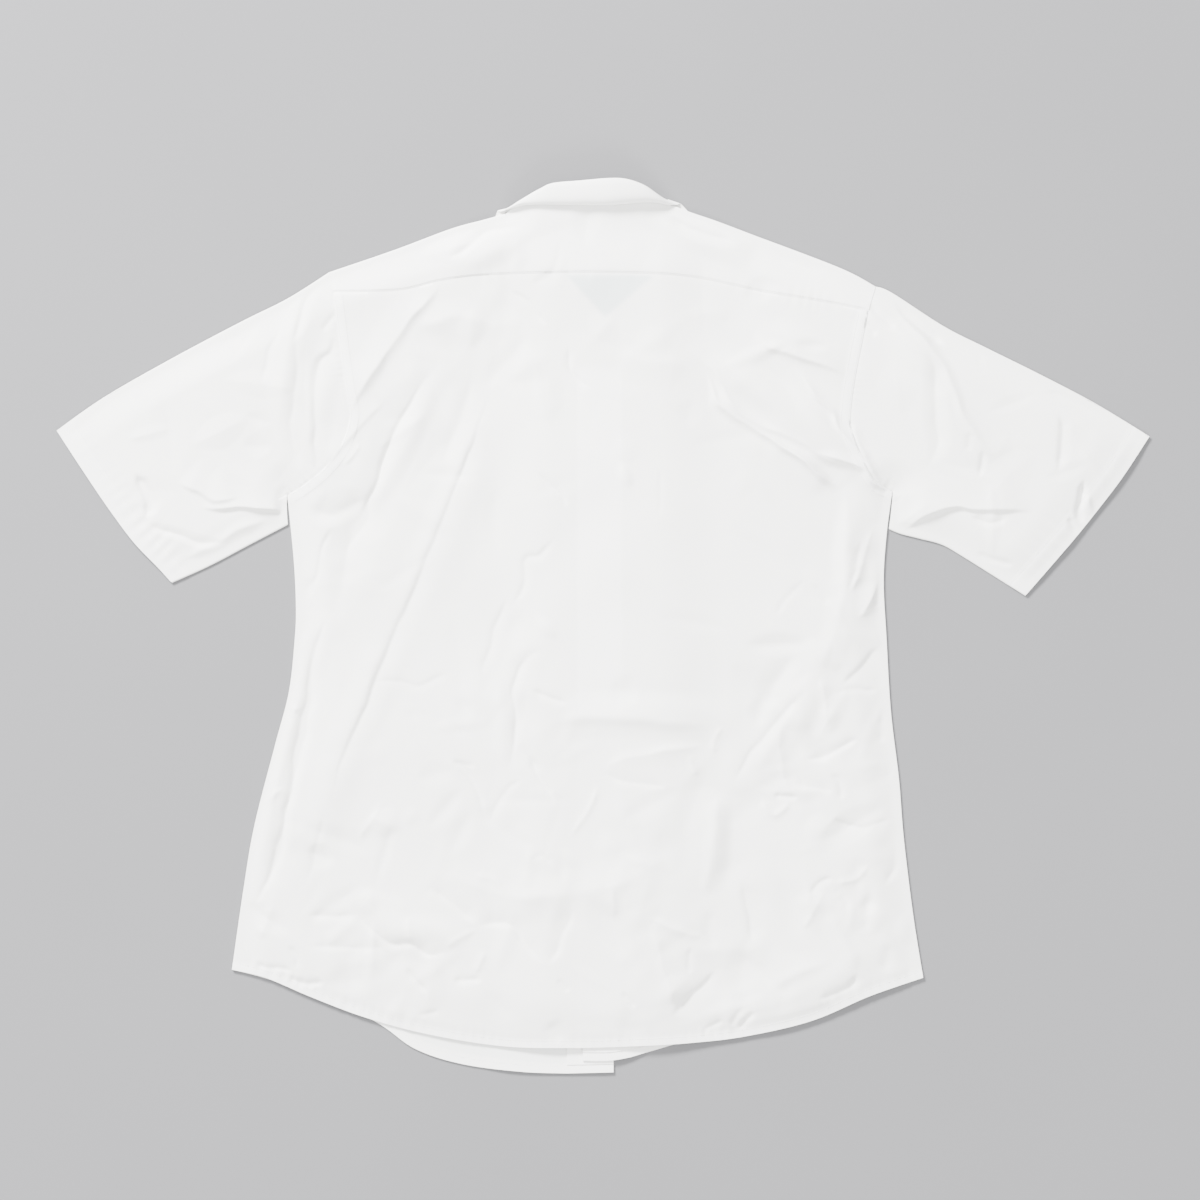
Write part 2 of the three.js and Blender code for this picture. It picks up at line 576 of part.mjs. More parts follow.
function fall() {
  const standing = (row) => smooth(row.fz / COLLAR_RISE);
  const rows = even(FALL_CELLS).map((share) =>
    COLLAR.map((row) => {
      const fold = new Vector3(row.fx, row.fy, row.fz);
      const free = new Vector3(row.ex, row.ey, row.ez);
      const bulge = FALL_BULGE * standing(row) * Math.sin(Math.PI * share);
      return fold.lerp(free, share).add(new Vector3(0, -bulge / 2, bulge));
    }),
  );
  return wall(thickened(rows));
}

// In front the stand lies flat, level with the front that it is sewn to.
const standLevel = (side, { x, y }) => frontUnder[side](x, y) + WALL / 2;

// One front half of the stand, from its lapped end round to the shoulder, as pairs of foot and top.
function standHalf(side, foldRows) {
  const centre = along(CENTRE_NECK[side], even(FRONT_CELLS.facing)).reverse();
  const neckline = along(NECKLINE[side], even(FRONT_CELLS.neckline)).reverse();
  const feet = [...centre, ...neckline.slice(1), plan(BACK_NECK.at(side === "left" ? 0 : -1))];
  const line = new THREE.SplineCurve([plan(STAND_LAP[side]), ...foldRows.map(({ fx, fy }) => new Vector2(fx, fy))]);
  return sharesOf(feet).map((share, k) => {
    const top = line.getPointAt(share);
    return { foot: lifted(feet[k], standLevel(side, feet[k])), top: lifted(top, standLevel(side, top)) };
  });
}

function standBack() {
  const fold = COLLAR.slice(COLLAR_SIDES.left + 2, COLLAR_SIDES.right - 1);
  const shares = sharesOf(fold.map(({ fx, fy, fz }) => new Vector3(fx, fy, fz)));
  const feet = along(BACK_NECK, shares.map((share) => THREE.MathUtils.lerp(STAND_ENDS, 1 - STAND_ENDS, share)));
  return fold.map(({ fx, fy, fz }, k) => ({
    foot: lifted(feet[k], upperUnder(feet[k].x, feet[k].y) + WALL / 2),
    top: new Vector3(fx, fy, fz - STAND_BELOW),
  }));
}

function stand() {
  const left = standHalf("left", leafRows.left);
  const right = standHalf("right", [...leafRows.right].reverse()).reverse();
  const pairs = [...left, ...standBack(), ...right];
  const rows = even(STAND_CELLS).map((share) =>
    pairs.map(({ foot, top }) => {
      const [low, high] = [STAND_CLEAR, foot.distanceTo(top) - STAND_CLEAR / 2];
      return foot.clone().lerp(top, THREE.MathUtils.lerp(low, high, share) / foot.distanceTo(top));
    }),
  );
  return wall(thickened(rows));
}

// ---------------------------------------------------------------- buttons
function button() {
  const { radius, thick, rim, sides: around } = BUTTON;
  const profile = [
    [0, 0], [radius - rim, 0], [radius, rim], [radius, thick - rim], [radius - rim, thick], [0, thick],
  ].map(([r, z]) => new Vector2(r, z));
  return new THREE.LatheGeometry(profile, around).rotateX(Math.PI / 2);
}

// ---------------------------------------------------------------- the shirt
const cloth = new THREE.MeshStandardMaterial({ color: 0xecece9, roughness: 0.9, metalness: 0 });
const doubledCloth = new THREE.MeshStandardMaterial({ color: 0xeeeeeb, roughness: 0.88, metalness: 0 });
const shell = new THREE.MeshStandardMaterial({ color: 0xf2f0ea, roughness: 0.3, metalness: 0 });

const shirt = new THREE.Group();
function add(name, geometry, material) {
  const mesh = new THREE.Mesh(geometry, material);
  mesh.name = name;
  shirt.add(mesh);
  return mesh;
}

add("back", back(), cloth);
add("yoke", yoke(), doubledCloth);
sides.forEach((side) => {
  add(`front_${side}`, front(side), cloth);
  add(`facing_${side}`, facing(side), doubledCloth);
  add(`sleeve_${side}`, sleeve(side), cloth);
});
add("collar_stand", stand(), doubledCloth);
add("collar_fall", fall(), doubledCloth);

const buttonHeights = [BUTTON.top, ...even(BUTTON.count - 1).map((_, k) => BUTTON.first - k * BUTTON.pitch)];
buttonHeights.forEach((y, k) => {
  add(`button_${k + 1}`, button(), shell).position.set(BUTTON.x, y, 0);
});

export default shirt;
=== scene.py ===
# %% [markdown]
# # A crumpled white shirt, laid flat on its front
#
# The real thing is a man's short-sleeve cotton shirt, buttoned up and put down with its back up. Nearly all
# of its character is in shallow relief: creases one to five millimetres high, seams that pucker, hems that
# are a little thicker than the cloth beside them. A simulation would crumple it in its own way, so each
# piece is instead a height field over its cut outline, and every crease is a row in a table.

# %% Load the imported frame
import math

import bmesh
import bpy
import numpy as np
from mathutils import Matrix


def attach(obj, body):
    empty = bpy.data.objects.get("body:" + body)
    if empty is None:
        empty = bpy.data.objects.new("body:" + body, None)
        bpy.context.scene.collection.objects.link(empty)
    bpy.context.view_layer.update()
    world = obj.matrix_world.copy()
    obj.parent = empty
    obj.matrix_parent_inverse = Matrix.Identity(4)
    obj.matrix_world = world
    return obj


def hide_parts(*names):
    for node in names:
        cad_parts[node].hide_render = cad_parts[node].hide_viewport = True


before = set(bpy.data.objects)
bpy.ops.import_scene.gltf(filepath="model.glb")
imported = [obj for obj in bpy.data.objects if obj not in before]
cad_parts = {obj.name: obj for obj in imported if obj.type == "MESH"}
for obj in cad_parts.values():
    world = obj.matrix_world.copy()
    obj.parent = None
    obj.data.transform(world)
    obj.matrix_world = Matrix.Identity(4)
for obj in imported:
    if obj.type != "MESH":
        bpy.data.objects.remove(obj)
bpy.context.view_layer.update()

# %% [markdown]
# ## Sizes that drive the rest
#
# All sizes are in millimetres, and a mesh is scaled to metres when it is made. The cloth is thin: one layer
# is 0.7 mm here, and layers that lie on each other keep a quarter of a millimetre between them.

# %% Driving sizes
MM = 0.001
CLOTH = 0.7          # one layer of cloth
DOUBLED = 1.1        # collar cloth, which is doubled and stiffened
LAYER_GAP = 0.25
SEAM_GAP = 0.04      # between two pieces that are sewn edge to edge, half of it to each side
PITCH = CLOTH + LAYER_GAP
LEAF_LIFT = DOUBLED + LAYER_GAP
BUTTON_THICK = 2.4
BUTTON_LIFT = BUTTON_THICK + LAYER_GAP
BUTTON_RADIUS = 5.5
BUTTON_X = -4.8
BUTTON_HEIGHTS = [274] + [214 - 89 * k for k in range(6)]

HEM = 7.5                 # depth of the turned hem round the body
HEM_STITCH = HEM - 1.2    # how far in from the edge it is stitched
CUFF_HEM = 18.5           # the same two sizes for the hem at each cuff
CUFF_STITCH = CUFF_HEM - 1.5
SEAM_ALLOWANCE = 10       # cloth turned back inside each armhole seam
STITCH = 2.6              # length of one stitch with its gap
ON_FLOOR = DOUBLED / 2    # height of the middle of collar cloth that lies on the floor
STRIP_GAP = 0.15          # between the yoke's turned-under strip and the fronts

print(f"{len(BUTTON_HEIGHTS)} buttons, {CLOTH} mm cloth, stitches every {STITCH} mm")

# %% [markdown]
# ## The cut
#
# Every piece of a shirt is cut to an outline, and the outlines meet along seams. The tables hold the few
# points that each line needs, in plan, and a smooth line runs through them. The wearer's left is on the
# left, because the shirt lies face down.

# %% Outlines
SIDES = ("left", "right")
OUTWARD = {"left": -1, "right": 1}

SHOULDER = {
    "left": [(-254, 330), (-194, 350.5), (-142, 370), (-111, 378.5), (-91, 384)],
    "right": [(64, 392.5), (80, 386), (105, 377.5), (137, 365.5), (220, 334), (253.5, 316.5)],
}
BACK_NECK = [(-91, 384), (-85, 388.5), (-74, 394.8), (-58, 398.8), (-35, 400.5), (-5, 401.5), (28, 401),
             (48, 398.5), (64, 392.5)]
YOKE_SEAM = [(-251, 311), (-190, 312.5), (-148, 322), (-100, 327), (0, 328.5), (80, 325), (145, 312),
             (215, 300), (246.5, 293.5)]
FRONT_YOKE_SEAM = {
    "left": [(-250.4, 305.5), (-194, 327), (-142, 346.5), (-111, 355), (-88, 361)],
    "right": [(84, 362), (105, 353.5), (137, 341), (220, 310), (246.3, 292.5)],
}
NECKLINE = {
    "left": [(-88, 361), (-77, 338), (-56, 310), (-33.7, 287)],
    "right": [(84, 362), (83, 343), (68, 314), (48, 292), (25.1, 275)],
}
CENTRE_NECK = {
    "left": [(-33.7, 287), (-14, 270), (9.7, 262)],
    "right": [(25.1, 275), (6, 265), (-19, 261)],
}
ARMHOLE = {
    "left": [(-251, 311), (-245, 262), (-239, 220), (-235.5, 195), (-244, 168), (-259, 148), (-279, 131.5),
             (-293.5, 123)],
    "right": [(246.5, 293.5), (240, 262), (233, 225), (229.7, 194.5), (232, 180), (242, 154.5), (253, 136),
              (269, 126.5)],
}
SIDE_SEAM = {
    "left": [(-293.5, 123), (-287.5, 62), (-285.5, 20), (-286.5, -10), (-292, -60), (-305, -110),
             (-324, -184), (-334, -242), (-345, -318.5)],
    "right": [(269, 126.5), (263.8, 88.5), (260.8, 43), (263.5, -11), (267.5, -78), (275, -141),
              (279.5, -196), (288.3, -268), (297.6, -326)],
}
BACK_HEM = [(-345, -318.5), (-313.5, -326), (-271, -344), (-222, -362.5), (-165, -378), (-94, -389.5),
            (-30, -391), (27, -389.5), (81, -386.5), (132, -380.5), (194, -366), (248, -343), (297.6, -326)]
FRONT_HEM = {
    "left": [(-345, -318.5), (-300, -331), (-217, -364), (-175, -392), (-130, -406.5), (-75, -413.5),
             (-33.7, -415)],
    "right": [(297.6, -326), (248, -341), (194, -364), (132, -378), (81, -384.5), (46, -394), (25.1, -400)],
}
CENTRE_HEM = {
    "left": [(-33.7, -415), (9.7, -414)],
    "right": [(25.1, -400), (6, -403), (-19, -403)],
}
SLEEVE_TOP = {
    "left": [(-254.3, 330), (-293, 305.5), (-337, 283.5), (-403, 248.5), (-464, 213.5), (-508, 182.7)],
    "right": [(253.8, 316.5), (269, 310.5), (317, 279.5), (356.5, 259.5), (407, 234.5), (457.5, 208),
              (508, 177.3)],
}
CUFF = {
    "left": [(-508, 182.7), (-480, 140), (-457.5, 107), (-436, 78.5), (-414, 55.5), (-400.8, 41)],
    "right": [(508, 177.3), (483.5, 140), (462, 111.5), (442, 86.5), (422, 63), (392.5, 29)],
}
PIT = {
    "left": [(-294, 122), (-294, 109), (-293.2, 95)],
    "right": [(269.6, 126), (268, 108), (266, 91)],
}
UNDERARM = {
    "left": [(-293.2, 95), (-330.5, 75.5), (-365.5, 57), (-400.8, 41)],
    "right": [(266, 91), (277, 86.5), (295, 82), (315, 76.5), (334.5, 65.5), (392.5, 29)],
}

# %% [markdown]
# ## Smooth lines and the distance to them
#
# A line through a table's points is a Catmull-Rom curve, which passes through each one. Two questions are
# asked of such lines again and again: where is the point at a given share of the length, and how far is a
# point of the cloth from the line, on which side, and how far along?

# %% Lines in plan
def smooth_line(points, steps=16):
    """A Catmull-Rom curve through the points, as many short steps."""
    p = np.asarray(points, float)
    padded = np.vstack([p[:1], p, p[-1:]])
    before, start, end, after = (padded[k:len(padded) - 3 + k, None] for k in range(4))
    t = np.linspace(0, 1, steps, endpoint=False)[None, :, None]
    leave, arrive = (end - start + start - before) / 2, (after - start) / 2
    curve = ((2 * t**3 - 3 * t**2 + 1) * start + (t**3 - 2 * t**2 + t) * leave
             + (3 * t**2 - 2 * t**3) * end + (t**3 - t**2) * arrive)
    return np.vstack([curve.reshape(-1, p.shape[1]), p[-1:]])


def lengths(line):
    """Length along a line at each of its points."""
    return np.concatenate([[0], np.cumsum(np.linalg.norm(np.diff(line, axis=0), axis=1))])


def shares_of(line):
    along = lengths(line)
    return along / along[-1]


def at_shares(line, shares):
    """Points of a line at the given shares of its length."""
    known = shares_of(line)
    return np.column_stack([np.interp(shares, known, column) for column in np.asarray(line, float).T])


def even(cells):
    return np.linspace(0, 1, cells + 1)


def moved_left(line, distance):
    """The line moved sideways in plan, to its left, by one distance or by one for each point."""
    ahead = np.gradient(line, axis=0)
    ahead /= np.linalg.norm(ahead, axis=1, keepdims=True)
    return line + np.reshape(distance, (-1, 1)) * np.column_stack([-ahead[:, 1], ahead[:, 0]])


def nearest(line, x, y):
    """For each point: its distance to the line, the length along it, and the side, +1 on the line's left."""
    a, b = line[:-1], line[1:]
    span = b - a
    long = np.maximum(np.einsum("ij,ij->i", span, span), 1e-9)
    start = lengths(line)
    best = np.full(x.shape, np.inf)
    along, side = np.zeros(x.shape), np.ones(x.shape)
    for k in range(len(a)):
        dx, dy = x - a[k, 0], y - a[k, 1]
        share = np.clip((dx * span[k, 0] + dy * span[k, 1]) / long[k], 0, 1)
        away = np.hypot(dx - share * span[k, 0], dy - share * span[k, 1])
        closer = away < best
        best = np.where(closer, away, best)
        along = np.where(closer, start[k] + share * math.sqrt(long[k]), along)
        turn = np.sign(span[k, 0] * dy - span[k, 1] * dx)
        side = np.where(closer, turn, side)
    return best, along, side


def step(value):
    """Smooth step from 0 to 1."""
    t = np.clip(value, 0, 1)
    return t * t * (3 - 2 * t)


# %% [markdown]
# ## Patches
#
# A panel is filled with rows of points between its four border lines, a Coons patch, so the rows follow the
# cut and the border points lie exactly on the seams.

# %% Panel patches
def patch(top, bottom, left, right):
    """Rows of points between four border lines, which share their corners."""
    u = shares_of(top)[None, :, None]
    v = ((shares_of(left) + shares_of(right)) / 2)[:, None, None]
    ruled = top[None] * (1 - v) + bottom[None] * v + left[:, None] * (1 - u) + right[:, None] * u
    corners = (left[0] * (1 - u) + right[0] * u) * (1 - v) + (left[-1] * (1 - u) + right[-1] * u) * v
    return ruled - corners


def armhole_line(side, drawn_in, scoop=0.0, cells=80):
    """The armhole seam, drawn into the body, and cut deeper by scoop at its middle."""
    line = at_shares(smooth_line(ARMHOLE[side]), even(cells))
    return moved_left(line, -OUTWARD[side] * (drawn_in + scoop * np.sin(np.pi * even(cells))))


# %% [markdown]
# ## Uneven ground
#
# Nothing on a crumpled shirt is even. A little smooth noise, always from the same seed, varies the height of
# each crease along its length, and a ridged form of it gives the fine crushed facets between them.

# %% Noise
def noise(x, y, size, seed):
    """Smooth noise from -1 to 1, with features of about the given size."""
    values = np.random.default_rng(seed).uniform(-1, 1, (96, 96))
    fx, fy = x / size + 48, y / size + 48
    ix, iy = np.floor(fx).astype(int), np.floor(fy).astype(int)
    tx, ty = step(fx - ix), step(fy - iy)
    a, b = values[ix % 96, iy % 96], values[(ix + 1) % 96, iy % 96]
    c, d = values[ix % 96, (iy + 1) % 96], values[(ix + 1) % 96, (iy + 1) % 96]
    return (a * (1 - tx) + b * tx) * (1 - ty) + (c * (1 - tx) + d * tx) * ty


def turned(x, y, degrees):
    c, s = math.cos(math.radians(degrees)), math.sin(math.radians(degrees))
    return c * x + s * y, c * y - s * x


# %% Small facets
CRUSHED = [  # where the cloth is crushed most: x, y, reach, height, number of small creases
    (-200, -285, 75, 0.9, 55), (-90, -150, 90, 0.55, 36), (0, -270, 115, 0.6, 50), (190, -150, 75, 0.9, 50),
    (235, -40, 60, 0.7, 26), (220, -270, 65, 0.8, 30), (90, -320, 80, 0.65, 30), (-250, -150, 70, 0.5, 18),
    (-165, 235, 80, 0.6, 26), (170, 220, 75, 0.75, 24), (-40, 280, 80, 0.55, 22), (-330, 170, 95, 0.45, 24),
    (380, 150, 100, 0.4, 30), (0, 60, 210, 0.42, 40), (250, 60, 50, 0.6, 16), (-265, 40, 55, 0.5, 14),
]
FACET_SCALE = 1.4


def small_creases():
    """Short straight creases at random in the crushed places: ends, width and height of each."""
    draw = np.random.default_rng(5)
    rows = []
    for x, y, reach, height, count in CRUSHED:
        for _ in range(count):
            cx, cy = draw.normal((x, y), reach * 0.75)
            angle, long = draw.uniform(0, math.pi), draw.uniform(22, 75)
            dx, dy = math.cos(angle) * long / 2, math.sin(angle) * long / 2
            rows.append((cx - dx, cy - dy, cx + dx, cy + dy, draw.uniform(6, 20), height * draw.normal(0, 1)))
    return rows


SMALL_CREASES = small_creases()


def facets(x, y):
    """Flat-sided tents and troughs along the small creases, so the cloth between them falls into facets."""
    total = 0.12 * noise(x, y, 24, 13)
    wx, wy = x + 2.5 * noise(x, y, 47, 11), y + 2.5 * noise(x, y, 53, 12)
    for x0, y0, x1, y1, width, height in SMALL_CREASES:
        dx, dy = x1 - x0, y1 - y0
        long = math.hypot(dx, dy)
        near = (np.abs(x - (x0 + x1) / 2) < long / 2 + 6) & (np.abs(y - (y0 + y1) / 2) < long / 2 + 6)
        if not near.any():
            continue
        px, py = wx[near] - x0, wy[near] - y0
        share = np.clip((px * dx + py * dy) / long**2, 0, 1)
        aside = np.abs(py * dx - px * dy) / long
        lens = np.sin(np.pi * share)
        total[near] += height * lens * np.clip(1 - aside / (width * (0.3 + 0.7 * lens)), 0, 1)
    return FACET_SCALE * total


# %% [markdown]
# ## The creases
#
# The largest folds come first. They are the same ones that the imported solids have, so the thin shells follow
# the solids' form. Then comes a row for each crease that shows: how wide its flank is on its left
# and on its right, going the way that its points run, and how far it rises. A negative rise is a trough.
# Where one flank is narrow and the other wide, the crease reads as the edge of a facet or a flap.

# %% Largest folds
FOLDS = [  # x0, y0, x1, y1, bow, left, right, rise
    (-150, 256, -226, 102, 6, 14, 30, 7), (-95, 232, -190, 0, 4, 34, 20, 5),
    (-184, 10, -272, -221, -8, 24, 20, 4), (-254, 14, -322, -262, -14, 16, 26, 6),
    (-70, 376, -155, 334, 8, 16, 26, 5), (46, 390, 140, 347, -6, 22, 16, 5),
    (80, 262, 210, 134, 14, 20, 16, 6), (96, 250, 259, 128, 12, 14, 22, 6),
    (176, 242, 255, 130, -10, 16, 14, 4), (141, 273, 228, 233, 8, 16, 18, 4),
    (-262, 322, -279, 152, -22, 22, 18, 6), (-250, 262, -266, 145, -6, 14, 14, 4),
    (280, 294, 365, 155, -16, 22, 26, 6), (-50, -82, 128, -88, 6, 18, 22, 5),
    (216, -12, 108, -156, 10, 22, 26, 7), (100, -150, 98, -246, 5, 14, 26, 6),
    (-236, -254, -124, -288, -12, 18, 24, 6), (-56, 2, -84, -138, -14, 20, 16, 4),
    (98, -366, 250, -306, -10, 14, 30, 5),
]
FOLD_SCALE = 0.7   # the real folds are softer than the solids' few facets make them
FOLD_SPREAD = 1.25  # and this much wider


def fold_rise(x, y):
    total = np.zeros_like(x)
    for x0, y0, x1, y1, bow, left, right, rise in FOLDS:
        dx, dy = x1 - x0, y1 - y0
        length = math.hypot(dx, dy)
        share = ((x - x0) * dx + (y - y0) * dy) / length**2
        inside = (share > 0) & (share < 1)
        t = np.clip(share, 0, 1)
        aside = ((y - y0) * dx - (x - x0) * dy) / length - 4 * bow * t * (1 - t)
        width = np.where(aside > 0, left, right) * FOLD_SPREAD
        crest = np.cos(np.pi / 2 * np.clip(np.abs(aside) / width, 0, 1))**2
        total += np.where(inside, rise * crest * np.sin(np.pi * t), 0)
    return FOLD_SCALE * total


